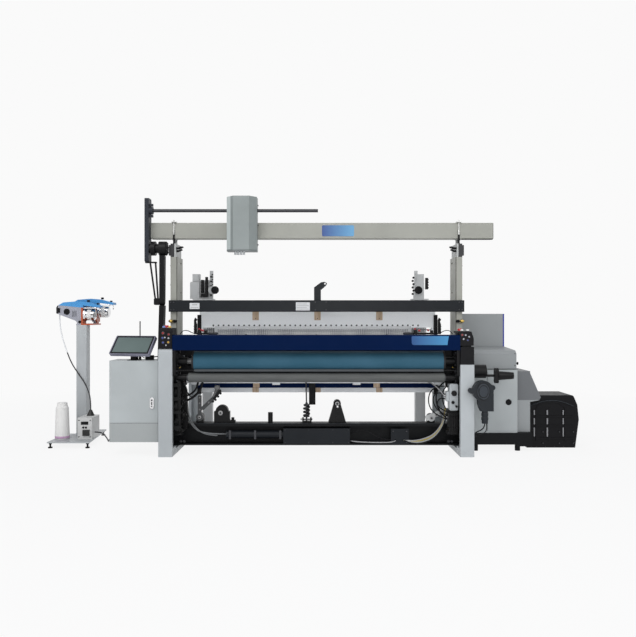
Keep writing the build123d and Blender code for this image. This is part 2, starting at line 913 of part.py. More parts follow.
# Rear columns: folded channels on the rear cross beam, which carry the warp end of the machine
rear_column_left = -frame_half + 164.0
rear_column_right = frame_half - 222.0
rear_column_width = 104.0
rear_column_depth = 90.0
rear_column_sheet = 8.0
rear_column_top = 1400.0
rear_column_y = rear_beam_mid_y - rear_column_depth / 2
rear_beam_top = rear_beam_bottom + rear_beam_height
tie_bottom = 1300.0
tie_size = 70.0
back_rest_radius = 55.0
back_rest_height = 1080.0
back_rest_reach = 70.0
back_rest_journal = 18.0
arm_thickness = 22.0
column_rear_y = rear_column_y + rear_column_depth
back_rest_y = column_rear_y + back_rest_reach
with BuildPart() as rear_columns:
    for x in (rear_column_left, rear_column_right):
        with BuildSketch(Plane.XY.offset(rear_beam_top)):
            with Locations((x, rear_column_y + rear_column_depth / 2)):
                RectangleRounded(rear_column_width, rear_column_depth, 10)
                RectangleRounded(
                    rear_column_width - 2 * rear_column_sheet,
                    rear_column_depth - 2 * rear_column_sheet,
                    3,
                    mode=Mode.SUBTRACT,
                )
        extrude(amount=rear_column_top - rear_beam_top)
        slab(
            x - rear_column_width / 2 - 20,
            x + rear_column_width / 2 + 20,
            rear_beam_y,
            rear_beam_y + rear_beam_depth,
            rear_beam_top,
            rear_beam_top + 14,
        )
        slab(
            x - rear_column_width / 2,
            x + rear_column_width / 2,
            rear_column_y,
            rear_column_y + rear_column_depth,
            rear_column_top - 10,
            rear_column_top,
        )
    with BuildSketch(Plane.YZ.offset(rear_column_left + rear_column_width / 2)):
        with Locations((rear_beam_mid_y, tie_bottom + tie_size / 2)):
            RectangleRounded(tie_size, tie_size, 8)
            RectangleRounded(tie_size - 10, tie_size - 10, 3, mode=Mode.SUBTRACT)
    extrude(amount=rear_column_right - rear_column_left - rear_column_width)
    for x, side in (
        (rear_column_left + rear_column_width / 2, -1),
        (rear_column_right - rear_column_width / 2, 1),
    ):
        with BuildSketch(Plane.YZ.offset(min(x, x + side * arm_thickness))):
            with Locations((back_rest_y, back_rest_height)):
                Circle(back_rest_journal + boss_wall)
            with BuildLine():
                Polyline(
                    (column_rear_y, back_rest_height - 70),
                    (back_rest_y + 10, back_rest_height - back_rest_journal - boss_wall + 2),
                    (back_rest_y + 10, back_rest_height + back_rest_journal + boss_wall - 2),
                    (column_rear_y, back_rest_height + 70),
                    close=True,
                )
            make_face()
            with Locations((back_rest_y, back_rest_height)):
                Circle(back_rest_journal + running_clearance, mode=Mode.SUBTRACT)
        extrude(amount=arm_thickness)
save(rear_columns.part, "rear_columns")

# Back-rest roller that turns in the two arms
back_rest_gap = 4.0
with BuildPart() as back_rest_roller:
    rod_x(
        rear_column_left + rear_column_width / 2 + back_rest_gap,
        rear_column_right - rear_column_width / 2 - back_rest_gap,
        back_rest_y,
        back_rest_height,
        back_rest_radius,
    )
    rod_x(
        rear_column_left + rear_column_width / 2 - arm_thickness + 1,
        rear_column_right - rear_column_width / 2 + arm_thickness - 1,
        back_rest_y,
        back_rest_height,
        back_rest_journal,
    )
save(back_rest_roller.part, "back_rest_roller")

# Warp-stop head: contact bars in two combs, on arms that reach forward from the columns
comb_height = 1150.0
comb_depth = 180.0
comb_plate = 12.0
comb_reach = 200.0
bar_count = 6
bar_thickness = 5.0
bar_height = 28.0
comb_y = rear_column_y - comb_reach
with BuildPart() as warp_stop_head:
    for x, side in (
        (rear_column_left + rear_column_width / 2, 1),
        (rear_column_right - rear_column_width / 2, -1),
    ):
        slab(x, x - side * comb_plate, comb_y, rear_column_y, comb_height - 40, comb_height + 40)
    for i in range(bar_count):
        y = comb_y + 12 + i * (comb_depth - 24) / bar_count
        slab(
            rear_column_left + rear_column_width / 2,
            rear_column_right - rear_column_width / 2,
            y,
            y + bar_thickness,
            comb_height - bar_height / 2,
            comb_height + bar_height / 2,
        )
save(warp_stop_head.part, "warp_stop_head")

# Harness units on top of the rear columns: cast block, tall plate and rotary head
unit_base = 12.0
unit_block_height = 178.0
unit_block_width = 96.0
unit_block_depth = 130.0
unit_plate_top = 1708.0
unit_head_radius = 40.0
with BuildPart() as harness_units:
    for x, side in ((rear_column_left, -1), (rear_column_right, 1)):
        slab(
            x - 150 if side < 0 else x - 90,
            x + 66 if side < 0 else x + 84,
            rear_column_y - 20,
            rear_column_y + unit_block_depth,
            rear_column_top,
            rear_column_top + unit_base,
        )
        block_x = x - 130 if side < 0 else x - 12
        slab(
            block_x - unit_block_width / 2,
            block_x + unit_block_width / 2,
            rear_column_y - 10,
            rear_column_y + unit_block_depth - 10,
            rear_column_top + unit_base,
            rear_column_top + unit_base + unit_block_height,
        )
        fillet(harness_units.edges(Select.LAST).filter_by(Axis.Y).group_by(Axis.Z)[-1], 16)
        slab(
            block_x - 26,
            block_x + 50,
            rear_column_y + 10,
            rear_column_y + 80,
            rear_column_top + unit_base + unit_block_height,
            rear_column_top + unit_base + unit_block_height + 82,
        )
        plate_x = x + 24 if side < 0 else x - 58
        slab(
            plate_x,
            plate_x + 32,
            rear_column_y + 20,
            rear_column_y + 64,
            rear_column_top + unit_base,
            unit_plate_top,
        )
        head_x = plate_x + 32
        rod_y(
            head_x,
            rear_column_y - 34,
            rear_column_y + 64,
            rear_column_top + 102,
            unit_head_radius,
        )
        slab(
            min(block_x, plate_x),
            max(block_x, plate_x + 10),
            rear_column_y + 20,
            rear_column_y + 64,
            rear_column_top + unit_base,
            rear_column_top + 210,
        )
save(harness_units.part, "harness_units")

# Left button box: a moulded head on the left leg, its face leaning back, with bores for the buttons
box_left = -frame_outer + 1
box_right = -frame_inner - 1
box_height = 180.0
box_front_y = front_y + 14.0
box_depth = 190.0
button_hole = 8.0
button_travel = 4.0
button_radius = 13.0
button_cap = 14.0
stop_radius = 19.0
stop_cap = 20.0
stem_length = 26.0


def button_bores(centre_x, top_z, front, slots):
    """Bores straight down through the top face, for the stems of the buttons."""
    for dx, dy in slots:
        rod_z(
            centre_x + dx,
            front + dy,
            top_z - stem_length - button_travel,
            top_z,
            button_hole + running_clearance,
            Mode.SUBTRACT,
        )


left_box_x = (box_left + box_right) / 2
left_slots = {"stop": (-16.0, 110.0), "start": (-26.0, 56.0), "jog": (26.0, 56.0)}
right_slots = {"stop": (-32.0, 110.0), "start": (-24.0, 56.0), "jog": (26.0, 56.0)}


def head_profile(plane, front, bottom, top):
    """Side view of a button head: upright nose, leaning top face, flat back."""
    with BuildSketch(plane) as view:
        with BuildLine():
            Polyline(
                (front, bottom),
                (front + box_depth, bottom),
                (front + box_depth, top),
                (front + 20, top),
                (front, top - 26),
                close=True,
            )
        make_face()
    return view.sketch


left_box_top = left_leg_height + box_height
with BuildPart() as left_button_box:
    extrude(
        head_profile(Plane.YZ.offset(box_left), box_front_y, left_leg_height, left_box_top),
        amount=box_right - box_left,
    )
    fillet(left_button_box.edges().filter_by(Axis.Z), 7)
    button_bores(left_box_x, left_box_top, box_front_y, left_slots.values())
save(left_button_box.part, "left_button_box")

# Right leg cap and button box: dark collar and block on the leg, then the head
collar_height = 34.0
cap_top = 957.0
right_box_bottom = 968.0
right_box_top = 1092.0
right_box_overhang = 20.0
right_box_left = frame_inner - right_box_overhang
right_box_x = (right_box_left + frame_outer) / 2
with BuildPart() as right_leg_cap:
    slab(
        frame_inner,
        frame_outer,
        front_y,
        front_y + leg_depth - 60,
        right_leg_height,
        right_leg_height + collar_height,
    )
    slab(
        frame_inner + 2,
        frame_outer - 1,
        front_y + 4,
        front_y + leg_depth - 64,
        right_leg_height + collar_height,
        cap_top,
    )
    slab(
        frame_inner + 20,
        frame_outer - 20,
        front_y + 30,
        front_y + leg_depth - 90,
        cap_top,
        right_box_bottom,
    )

with BuildPart() as right_button_head:
    with BuildSketch(Plane.XZ.offset(-box_front_y - box_depth)):
        with BuildLine():
            Polyline(
                (frame_inner + 0.5, right_box_bottom),
                (frame_outer - 2, right_box_bottom),
                (frame_outer - 2, right_box_top - 60),
                (frame_outer - 22, right_box_top),
                (right_box_left, right_box_top),
                (right_box_left, right_box_top - 14),
                (frame_inner + 0.5, cover_top + 2),
                close=True,
            )
        make_face()
    extrude(amount=box_depth)
    fillet(right_button_head.edges().filter_by(Axis.Y).group_by(Axis.X)[-1], 6)
    button_bores(right_box_x, right_box_top, box_front_y, right_slots.values())
right_button_box = Compound([right_leg_cap.part.solid(), right_button_head.part.solid()])
save(right_button_box, "right_button_box")

# Push buttons and stop mushrooms: a cap on a stem that slides in the head's bore
for head, centre_x, top_z, slots in (
    ("left", left_box_x, left_box_top, left_slots),
    ("right", right_box_x, right_box_top, right_slots),
):
    for use, (dx, dy) in slots.items():
        x = centre_x + dx
        y = box_front_y + dy
        cap_radius = stop_radius if use == "stop" else button_radius
        cap_height = stop_cap if use == "stop" else button_cap
        cap_foot = top_z + button_travel + 0.3
        with BuildPart() as push_button:
            rod_z(x, y, top_z - stem_length, cap_foot, button_hole)
            rod_z(x, y, cap_foot, cap_foot + cap_height, cap_radius)
            fillet(push_button.edges().filter_by(GeomType.CIRCLE).sort_by(Axis.Z)[-1], 5)
        save(push_button.part, f"{head}_{use}_button")

# Control cabinet: a folded steel case, open at the front, with its door, latch handle and foot sill
cabinet_left = -frame_half - 505.0
cabinet_right = -frame_half - 74.0
cabinet_front = front_y + 60.0
cabinet_depth = 270.0
cabinet_bottom = 120.0
cabinet_height = 715.0
cabinet_sheet = 4.0
door_thickness = 18.0
door_gap = 0.5
hinge_radius = door_thickness / 2
cabinet_top = cabinet_bottom + cabinet_height
case_front = cabinet_front + door_thickness + door_gap
with BuildPart() as control_cabinet:
    slab(
        cabinet_left,
        cabinet_right,
        case_front,
        cabinet_front + cabinet_depth,
        cabinet_bottom,
        cabinet_top,
    )
    slab(
        cabinet_left + cabinet_sheet,
        cabinet_right - cabinet_sheet,
        case_front,
        cabinet_front + cabinet_depth - cabinet_sheet,
        cabinet_bottom + cabinet_sheet,
        cabinet_top - cabinet_sheet,
        Mode.SUBTRACT,
    )

# Cabinet hangers: two brackets that hold the case on the left side frame
hanger_bar = 40.0
with BuildPart() as cabinet_brackets:
    for z in (cabinet_bottom + 90, cabinet_top - 180):
        slab(
            cabinet_right,
            -frame_outer,
            case_front + 30,
            case_front + 30 + hanger_bar * 2,
            z,
            z + hanger_bar,
        )
cabinet_case = Compound([control_cabinet.part.solid()] + list(cabinet_brackets.part.solids()))
save(cabinet_case, "control_cabinet")

latch_x = cabinet_right - 54.0
latch_z = 463.0
latch_half_height = 50.0
latch_shaft_radius = 9.0
with BuildPart() as cabinet_door:
    slab(
        cabinet_left + hinge_radius,
        cabinet_right,
        cabinet_front,
        cabinet_front + door_thickness,
        cabinet_bottom,
        cabinet_top,
    )
    fillet(cabinet_door.edges().filter_by(Axis.Z).group_by(Axis.X)[-1].sort_by(Axis.Y)[0], 5)
    rod_z(
        cabinet_left + hinge_radius,
        cabinet_front + hinge_radius,
        cabinet_bottom,
        cabinet_top,
        hinge_radius,
    )
    rod_y(
        latch_x,
        cabinet_front,
        cabinet_front + door_thickness,
        latch_z,
        latch_shaft_radius + running_clearance,
        Mode.SUBTRACT,
    )
save(cabinet_door.part, "cabinet_door")

# Door latch: an oval paddle that turns on its shaft in the door
latch_gap = 0.3
latch_width = 38.0
latch_thickness = 12.0
latch_face = cabinet_front - latch_gap
with BuildPart() as door_latch:
    with BuildSketch(Plane.XZ.offset(-latch_face)):
        with Locations((latch_x, latch_z)):
            SlotOverall(2 * latch_half_height, latch_width, rotation=90)
    extrude(amount=latch_thickness)
    fillet(door_latch.edges().group_by(Axis.Y)[0], 4)
    rod_y(latch_x, latch_face, cabinet_front + door_thickness - 1, latch_z, latch_shaft_radius)
save(door_latch.part, "door_latch")

# Screen post on the cabinet's top, with the pin that the screen tilts on
screen_x = -frame_half - 302.0
post_half = 26.0
screen_pivot_z = 925.0
screen_pivot_y = cabinet_front + 75.0
screen_pin_radius = 8.0
cheek_thickness = 9.0
with BuildPart() as screen_post:
    slab(
        screen_x - post_half - 20,
        screen_x + post_half + 20,
        screen_pivot_y - 45,
        screen_pivot_y + 45,
        cabinet_top,
        cabinet_top + 6,
    )
    slab(
        screen_x - post_half,
        screen_x + post_half,
        screen_pivot_y - 22,
        screen_pivot_y + 22,
        cabinet_top + 6,
        screen_pivot_z - 26,
    )
    for x in (screen_x - post_half, screen_x + post_half - cheek_thickness):
        with BuildSketch(Plane.YZ.offset(x)):
            with Locations((screen_pivot_y, screen_pivot_z - 13)):
                Rectangle(38, 26)
            with Locations((screen_pivot_y, screen_pivot_z)):
                Circle(19)
        extrude(amount=cheek_thickness)
    rod_x(
        screen_x - post_half,
        screen_x + post_half,
        screen_pivot_y,
        screen_pivot_z,
        screen_pin_radius,
    )

# Touch screen: a shallow housing with a bezel and a glass, leaning back on the post's pin and
# turned towards the weaver's place
screen_width = 392.0
screen_height = 205.0
screen_depth = 34.0
screen_lean = 40.0
screen_turn = 16.0
screen_standoff = 24.0
glass_inset_side = 24.0
glass_inset_end = 20.0
glass_thickness = 3.0
screen_plane = Plane(
    origin=(screen_x, screen_pivot_y, screen_pivot_z),
    x_dir=(1, 0, 0),
    z_dir=(0, -math.cos(math.radians(screen_lean)), math.sin(math.radians(screen_lean))),
)
screen_shift = 14.0
with BuildPart() as touch_screen:
    with BuildSketch(screen_plane.offset(screen_standoff)):
        with Locations((0, screen_shift)):
            RectangleRounded(screen_width, screen_height, 8)
    extrude(amount=screen_depth)
    with BuildSketch(screen_plane.offset(screen_standoff + screen_depth - glass_thickness)):
        with Locations((0, screen_shift)):
            Rectangle(screen_width - 2 * glass_inset_side, screen_height - 2 * glass_inset_end)
    extrude(amount=glass_thickness, mode=Mode.SUBTRACT)
    lug_half = post_half - cheek_thickness - 1
    with BuildSketch(Plane.YZ.offset(screen_x - lug_half)) as lug:
        with Locations((screen_pivot_y, screen_pivot_z)):
            Circle(17)
        lean = math.radians(screen_lean)
        reach = screen_standoff + 0.5
        along_y = -math.cos(lean)
        along_z = math.sin(lean)
        with BuildLine():
            Polyline(
                (screen_pivot_y - 15 * along_z, screen_pivot_z + 15 * along_y),
                (
                    screen_pivot_y + reach * along_y - 15 * along_z,
                    screen_pivot_z + reach * along_z + 15 * along_y,
                ),
                (
                    screen_pivot_y + reach * along_y + 15 * along_z,
                    screen_pivot_z + reach * along_z - 15 * along_y,
                ),
                (screen_pivot_y + 15 * along_z, screen_pivot_z - 15 * along_y),
                close=True,
            )
        make_face()
        with Locations((screen_pivot_y, screen_pivot_z)):
            Circle(screen_pin_radius + running_clearance, mode=Mode.SUBTRACT)
    extrude(amount=2 * lug_half)
screen_axis = Axis((screen_x, screen_pivot_y, 0), (0, 0, 1))
turned_screen = touch_screen.part.rotate(screen_axis, -screen_turn)
save(turned_screen, "touch_screen")

# Antenna on a small foot behind the screen
antenna_x = -frame_half - 287.0
antenna_y = cabinet_front + cabinet_depth - 60.0
antenna_top = 1181.0
antenna_radius = 5.0
with BuildPart() as antenna:
    rod_z(antenna_x, antenna_y, cabinet_top, cabinet_top + 40, 12)
    rod_z(antenna_x, antenna_y, cabinet_top + 40, antenna_top, antenna_radius)
    fillet(antenna.edges().filter_by(GeomType.CIRCLE).sort_by(Axis.Z)[-1], 3)
turned_post = screen_post.part.rotate(screen_axis, -screen_turn)
post_and_antenna = Compound([turned_post.solid(), antenna.part.solid()])
save(post_and_antenna, "screen_post")

# Side drive cabinet: a folded steel case outside the right frame, on the machine base
cabinet_gap = 48.0
drive_left = frame_outer + cabinet_gap
drive_right = frame_half + 518.0
drive_front = front_y + 280.0
drive_depth = 640.0
drive_bottom = 166.0
drive_top = 742.0
drive_sheet = 5.0
with BuildPart() as side_cabinet:
    slab(drive_left, drive_right, drive_front, drive_front + drive_depth, drive_bottom, drive_top)
    fillet(side_cabinet.edges().filter_by(Axis.Z).group_by(Axis.Y)[0], 8)
    slab(
        drive_left + drive_sheet,
        drive_right - drive_sheet,
        drive_front + drive_sheet,
        drive_front + drive_depth + 1,
        drive_bottom + drive_sheet,
        drive_top - drive_sheet,
        Mode.SUBTRACT,
    )

# Rear door sheet that closes the case
with BuildPart() as side_cabinet_back:
    slab(
        drive_left,
        drive_right,
        drive_front + drive_depth,
        drive_front + drive_depth + drive_sheet,
        drive_bottom,
        drive_top,
    )

# Machine base on the drive side: two rails with a pan on top
base_rail = 90.0
base_front = drive_front - 10.0
base_rear = drive_front + drive_depth + 10.0
base_pan = 20.0
base_step_x = frame_half + 516.0
base_right = frame_half + 645.0
base_low = 60.0
with BuildPart() as machine_base:
    slab(frame_outer, base_right, base_front, base_rear, drive_bottom - base_pan, drive_bottom)
    for y in (base_front, base_rear - base_rail):
        slab(frame_outer, base_step_x, y, y + base_rail, base_low, drive_bottom - base_pan)
        slab(base_step_x, base_right, y, y + base_rail, base_low - 16, drive_bottom - base_pan)
    for x in (frame_outer + 80, base_right - 120):
        for y in (base_front + base_rail / 2, base_rear - base_rail / 2):
            rod_z(x, y, 0, base_low, 24)
save(machine_base.part, "machine_base")

# Upper side cover and the guard panel behind it
upper_front = front_y + 320.0
upper_top = 912.0
upper_sheet = 4.0
upper_depth = 420.0
with BuildPart() as upper_side_cover:
    with BuildSketch(Plane.YZ.offset(drive_left)):
        with BuildLine():
            Polyline(
                (upper_front, drive_top),
                (upper_front + upper_depth, drive_top),
                (upper_front + upper_depth, upper_top + 20),
                (upper_front + 40, upper_top),
                (upper_front, upper_top - 30),
                close=True,
            )
        make_face()
    extrude(amount=drive_right - drive_left)
    with BuildSketch(Plane.YZ.offset(drive_left + upper_sheet)):
        with BuildLine():
            Polyline(
                (upper_front + upper_sheet, drive_top),
                (upper_front + upper_depth - upper_sheet, drive_top),
                (upper_front + upper_depth - upper_sheet, upper_top + 20 - upper_sheet),
                (upper_front + 40, upper_top - upper_sheet),
                (upper_front + upper_sheet, upper_top - 30 - upper_sheet),
                close=True,
            )
        make_face()
    extrude(amount=drive_right - drive_left - 2 * upper_sheet, mode=Mode.SUBTRACT)
    rod_x(drive_right, drive_right + 12, upper_front + 90, upper_top - 60, 9)
guard_panel_left = frame_half + 100.0
guard_panel_right = frame_half + 519.0
guard_panel_y = front_y + 745.0
guard_panel_depth = 60.0
guard_panel_top = 1251.0
with BuildPart() as rear_guard_panel:
    slab(
        guard_panel_left,
        guard_panel_right,
        guard_panel_y,
        guard_panel_y + guard_panel_depth,
        drive_top,
        guard_panel_top,
    )
    fillet(rear_guard_panel.edges().filter_by(Axis.Z).group_by(Axis.Y)[0], 6)
side_case = Compound(
    [
        side_cabinet.part.solid(),
        side_cabinet_back.part.solid(),
        upper_side_cover.part.solid(),
        rear_guard_panel.part.solid(),
    ]
)
save(side_case, "side_cabinet")

# Boot guard: the sheet hood that joins the side cabinet to the motor, with a nose over the motor cover
boot_right = frame_half + 651.0
boot_knee_z = 437.0
boot_top = 721.0
boot_nose_x = frame_half + 747.0
boot_front = front_y + 340.0
boot_depth = 420.0
boot_nose_depth = 99.7
with BuildPart() as boot_guard:
    slab(drive_right, boot_right, boot_front, boot_front + boot_depth, drive_bottom, boot_top)
    with BuildSketch(Plane.XZ.offset(-boot_front - boot_nose_depth)):
        with BuildLine():
            Polyline(
                (boot_right - 20, boot_knee_z),
                (boot_nose_x - 16, boot_knee_z + 18),
                (boot_nose_x, boot_knee_z + 42),
                (boot_right, boot_top - 20),
                (boot_right - 20, boot_top - 20),
                close=True,
            )
        make_face()
    extrude(amount=boot_nose_depth)
    fillet(boot_guard.edges().filter_by(Axis.Z).group_by(Axis.Y)[0], 8)
save(boot_guard.part, "boot_guard")

# Motor cover: a ribbed moulded hood over the main motor, standing on the floor
motor_left = boot_right + 0.3
motor_right = frame_half + 1102.0
motor_front = front_y + 440.0
motor_depth = 360.0
motor_top = 489.0
motor_foot = 70.0
motor_bulge = 34.0
rib_raise = 7.0
rib_width = 14.0
rib_places = (motor_left + 87.7, motor_left + 203.7, motor_left + 357.7)
arch_x = frame_half + 874.0
arch_foot = 361.0
arch_half_width = 139.0
arch_rise = 74.0
wheel_y = motor_front + motor_depth / 2
wheel_z = 197.0
wheel_radius = 66.0
wheel_width = 28.0
wheel_shaft_radius = 12.0
with BuildPart() as motor_cover:
    with BuildSketch(Plane.XZ.offset(-motor_front - motor_depth)):
        with BuildLine():
            Polyline(
                (motor_left, 0),
                (motor_right, 0),
                (motor_right + motor_bulge, 262),
                (motor_right + 20, 400),
                (motor_right - 18, motor_top),
                (motor_left + 60, motor_top),
                (motor_left, 440),
                close=True,
            )
        make_face()
    extrude(amount=motor_depth)
    fillet(motor_cover.edges().filter_by(Axis.Y).group_by(Axis.Z)[-1], 26)
    chamfer(motor_cover.edges().group_by(Axis.Y)[0], 6)
    with BuildSketch(Plane.XZ.offset(-motor_front)):
        with Locations((arch_x, arch_foot)):
            Ellipse(arch_half_width, arch_rise)
            Ellipse(arch_half_width - rib_width, arch_rise - rib_width, mode=Mode.SUBTRACT)
        with Locations((arch_x, arch_foot - arch_rise / 2)):
            Rectangle(2 * arch_half_width, arch_rise, mode=Mode.SUBTRACT)
        for x in rib_places:
            with Locations((x, (motor_foot + arch_foot) / 2)):
                Rectangle(rib_width, arch_foot - motor_foot + 8)
        for z in (88, 204, 291):
            with Locations(((motor_left + motor_right) / 2 + 30, z)):
                Rectangle(motor_right - motor_left - 100, rib_width)
    extrude(amount=rib_raise)
    rod_x(
        motor_right - 40,
        motor_right + 60,
        wheel_y,
        wheel_z,
        wheel_shaft_radius + running_clearance,
        Mode.SUBTRACT,
    )
save(motor_cover.part, "motor_cover")

# Handwheel on the motor's free end
wheel_inner_x = motor_right + motor_bulge + 2
with BuildPart() as motor_handwheel:
    rod_x(wheel_inner_x, wheel_inner_x + wheel_width, wheel_y, wheel_z, wheel_radius)
    fillet(motor_handwheel.edges().filter_by(GeomType.CIRCLE), 8)
    rod_x(motor_right - 30, wheel_inner_x, wheel_y, wheel_z, wheel_shaft_radius)
save(motor_handwheel.part, "motor_handwheel")

# Take-up gear housing: a round cast case on the leg's front face, with two bolt ears, an oval cover
# and the worm case below it
gear_x = frame_half + 124.0
gear_z = 581.0
gear_radius = 89.0
gear_depth = 62.0
gear_front = front_y - gear_depth
gear_ear_radius = 22.0
gear_ears = ((gear_x - 100, gear_z), (gear_x + 82, gear_z + 28))
oval_length = 150.0
oval_width = 74.0
oval_raise = 8.0
worm_left = frame_half + 81.0
worm_right = frame_half + 213.0
worm_bottom = 406.0
worm_radius = 26.0
worm_x = frame_half + 143.0
worm_end = 298.0
with BuildPart() as gear_housing:
    with BuildSketch(Plane.XZ.offset(-front_y)):
        with Locations((gear_x, gear_z)):
            Circle(gear_radius)
        with Locations(gear_ears):
            Circle(gear_ear_radius)
        with BuildLine():
            Polyline(
                (worm_left, gear_z - 60),
                (worm_right, gear_z - 20),
                (worm_right, worm_bottom),
                (worm_left + 22, worm_bottom),
                (worm_left, worm_bottom + 60),
                close=True,
            )
        make_face()
    extrude(amount=gear_depth)
    with BuildSketch(Plane.XZ.offset(-gear_front)):
        with Locations((gear_x, gear_z)):
            SlotOverall(oval_length, oval_width, rotation=-78)
    extrude(amount=oval_raise)
    rod_z(worm_x, front_y - gear_depth / 2, worm_end, worm_bottom, worm_radius)
    rod_z(worm_x, front_y - gear_depth / 2, worm_end + 30, worm_end + 52, worm_radius + 4)
    rod_z(worm_x, front_y - gear_depth / 2, worm_end + 66, worm_end + 88, worm_radius + 4)
save(gear_housing.part, "gear_housing")

# Auxiliary motor on the leg's outer face: bearing case, shaft, eared flange and a tapered barrel
aux_y = front_y + 60.0
aux_z = 704.0
aux_case_z = 742.0
aux_case_radius = 59.0
aux_case_right = frame_half + 171.0
aux_flange_x = frame_half + 249.0
aux_flange_thickness = 34.0
aux_flange_length = 134.0
aux_flange_width = 50.0
aux_barrel_length = 132.0
aux_barrel_start = 40.0
aux_barrel_end = 29.0
aux_barrel_x = aux_flange_x + aux_flange_thickness
with BuildPart() as auxiliary_motor:
    rod_x(frame_outer, aux_case_right, aux_y, aux_case_z, aux_case_radius)
    rod_x(aux_case_right - 10, aux_flange_x, aux_y, aux_z, 11)
    with BuildSketch(Plane.YZ.offset(aux_flange_x)):
        with Locations((aux_y, aux_z)):
            SlotOverall(aux_flange_length, aux_flange_width, rotation=90)
    extrude(amount=aux_flange_thickness)
    with BuildSketch(Plane.YZ.offset(aux_barrel_x)):
        with Locations((aux_y, aux_z)):
            Circle(aux_barrel_start)
    with BuildSketch(Plane.YZ.offset(aux_barrel_x + aux_barrel_length)):
        with Locations((aux_y, aux_z)):
            Circle(aux_barrel_end)
    loft()
save(auxiliary_motor.part, "auxiliary_motor")

# Feeder stand: a cut steel plate on four levelling feet, with a square column welded to it
stand_front = front_y + 404.0
stand_left = -frame_half - 1187.0
stand_right = -frame_half - 792.0
stand_taper = 70.0
stand_plate = 10.0
stand_plate_bottom = 48.0
stand_depth = 746.0
stand_notch_x = -frame_half - 1092.0
stand_notch_depth = 486.0
stand_column_width = 104.0
stand_column_x = -frame_half - 999.0
stand_column_y = stand_front + 391.0
stand_column_top = 1141.0
stand_plate_top = stand_plate_bottom + stand_plate
with BuildPart() as feeder_stand:
    with BuildSketch(Plane.XY.offset(stand_plate_bottom)):
        with BuildLine():
            Polyline(
                (stand_left, stand_front),
                (stand_right, stand_front),
                (stand_right - stand_taper, stand_front + stand_depth),
                (stand_notch_x, stand_front + stand_depth),
                (stand_notch_x, stand_front + stand_notch_depth),
                (stand_left, stand_front + stand_notch_depth),
                close=True,
            )
        make_face()
    extrude(amount=stand_plate)
    with BuildSketch(Plane.XY.offset(stand_plate_top)):
        with Locations((stand_column_x, stand_column_y + stand_column_width / 2)):
            RectangleRounded(stand_column_width, stand_column_width, 8)
    extrude(amount=stand_column_top - stand_plate_top)
save(feeder_stand.part, "feeder_stand")

foot_radius = 14.0
foot_pad_radius = 20.0
foot_inset = 24.0
foot_places = (
    (stand_left + foot_inset, stand_front + foot_inset),
    (stand_right - foot_inset, stand_front + foot_inset),
    (stand_left + foot_inset, stand_front + stand_notch_depth - foot_inset),
    (stand_right - stand_taper - foot_inset, stand_front + stand_depth - foot_inset),
)
with BuildPart() as stand_feet:
    for x, y in foot_places:
        rod_z(x, y, 0, 10, foot_pad_radius)
        rod_z(x, y, 10, stand_plate_bottom, foot_radius * 0.6)
        rod_z(x, y, stand_plate_bottom - 12, stand_plate_bottom, foot_radius)
save(stand_feet.part, "stand_feet")

# Power box on the plate, with its socket and the cable funnel on top
power_left = -frame_half - 956.0
power_width = 136.0
power_front = stand_front + 156.0
power_depth = 229.0
power_height = 205.0
power_right = power_left + power_width
power_top = stand_plate_top + power_height
socket_depth = 16.0
funnel_x = power_left + 76.0
funnel_y = power_front + 150.0
funnel_height = 56.0
with BuildPart() as power_box:
    slab(power_left, power_right, power_front, power_front + power_depth, stand_plate_top, power_top)
    fillet(power_box.edges().filter_by(Axis.Y).group_by(Axis.Z)[-1], 6)
    slab(
        power_left + 52,
        power_left + 116,
        power_front - socket_depth,
        power_front,
        stand_plate_top + 34,
        stand_plate_top + 90,
    )
    with BuildSketch(Plane.XY.offset(power_top)):
        with Locations((funnel_x, funnel_y)):
            Circle(38)
    with BuildSketch(Plane.XY.offset(power_top + funnel_height)):
        with Locations((funnel_x, funnel_y)):
            Circle(12)
    loft()
save(power_box.part, "power_box")

# Yarn cone, standing on the plate
cone_x = -frame_half - 1115.0
cone_y = stand_front + 196.0
cone_radius = 68.0
cone_shoulder_radius = 58.0
cone_neck_radius = 45.0
cone_height = 345.0
cone_neck = 34.0
with BuildPart() as yarn_cone:
    with BuildSketch(Plane.XZ.offset(-cone_y)):
        with BuildLine():
            Polyline(
                (cone_x, stand_plate_top),
                (cone_x + cone_radius - 8, stand_plate_top),
                (cone_x + cone_radius, stand_plate_top + 14),
                (cone_x + cone_shoulder_radius, stand_plate_top + cone_height - cone_neck - 16),
                (cone_x + cone_neck_radius + 4, stand_plate_top + cone_height - cone_neck),
                (cone_x + cone_neck_radius, stand_plate_top + cone_height),
                (cone_x, stand_plate_top + cone_height),
                close=True,
            )
        make_face()
    revolve(axis=Axis((cone_x, cone_y, 0), (0, 0, 1)))
save(yarn_cone.part, "yarn_cone")

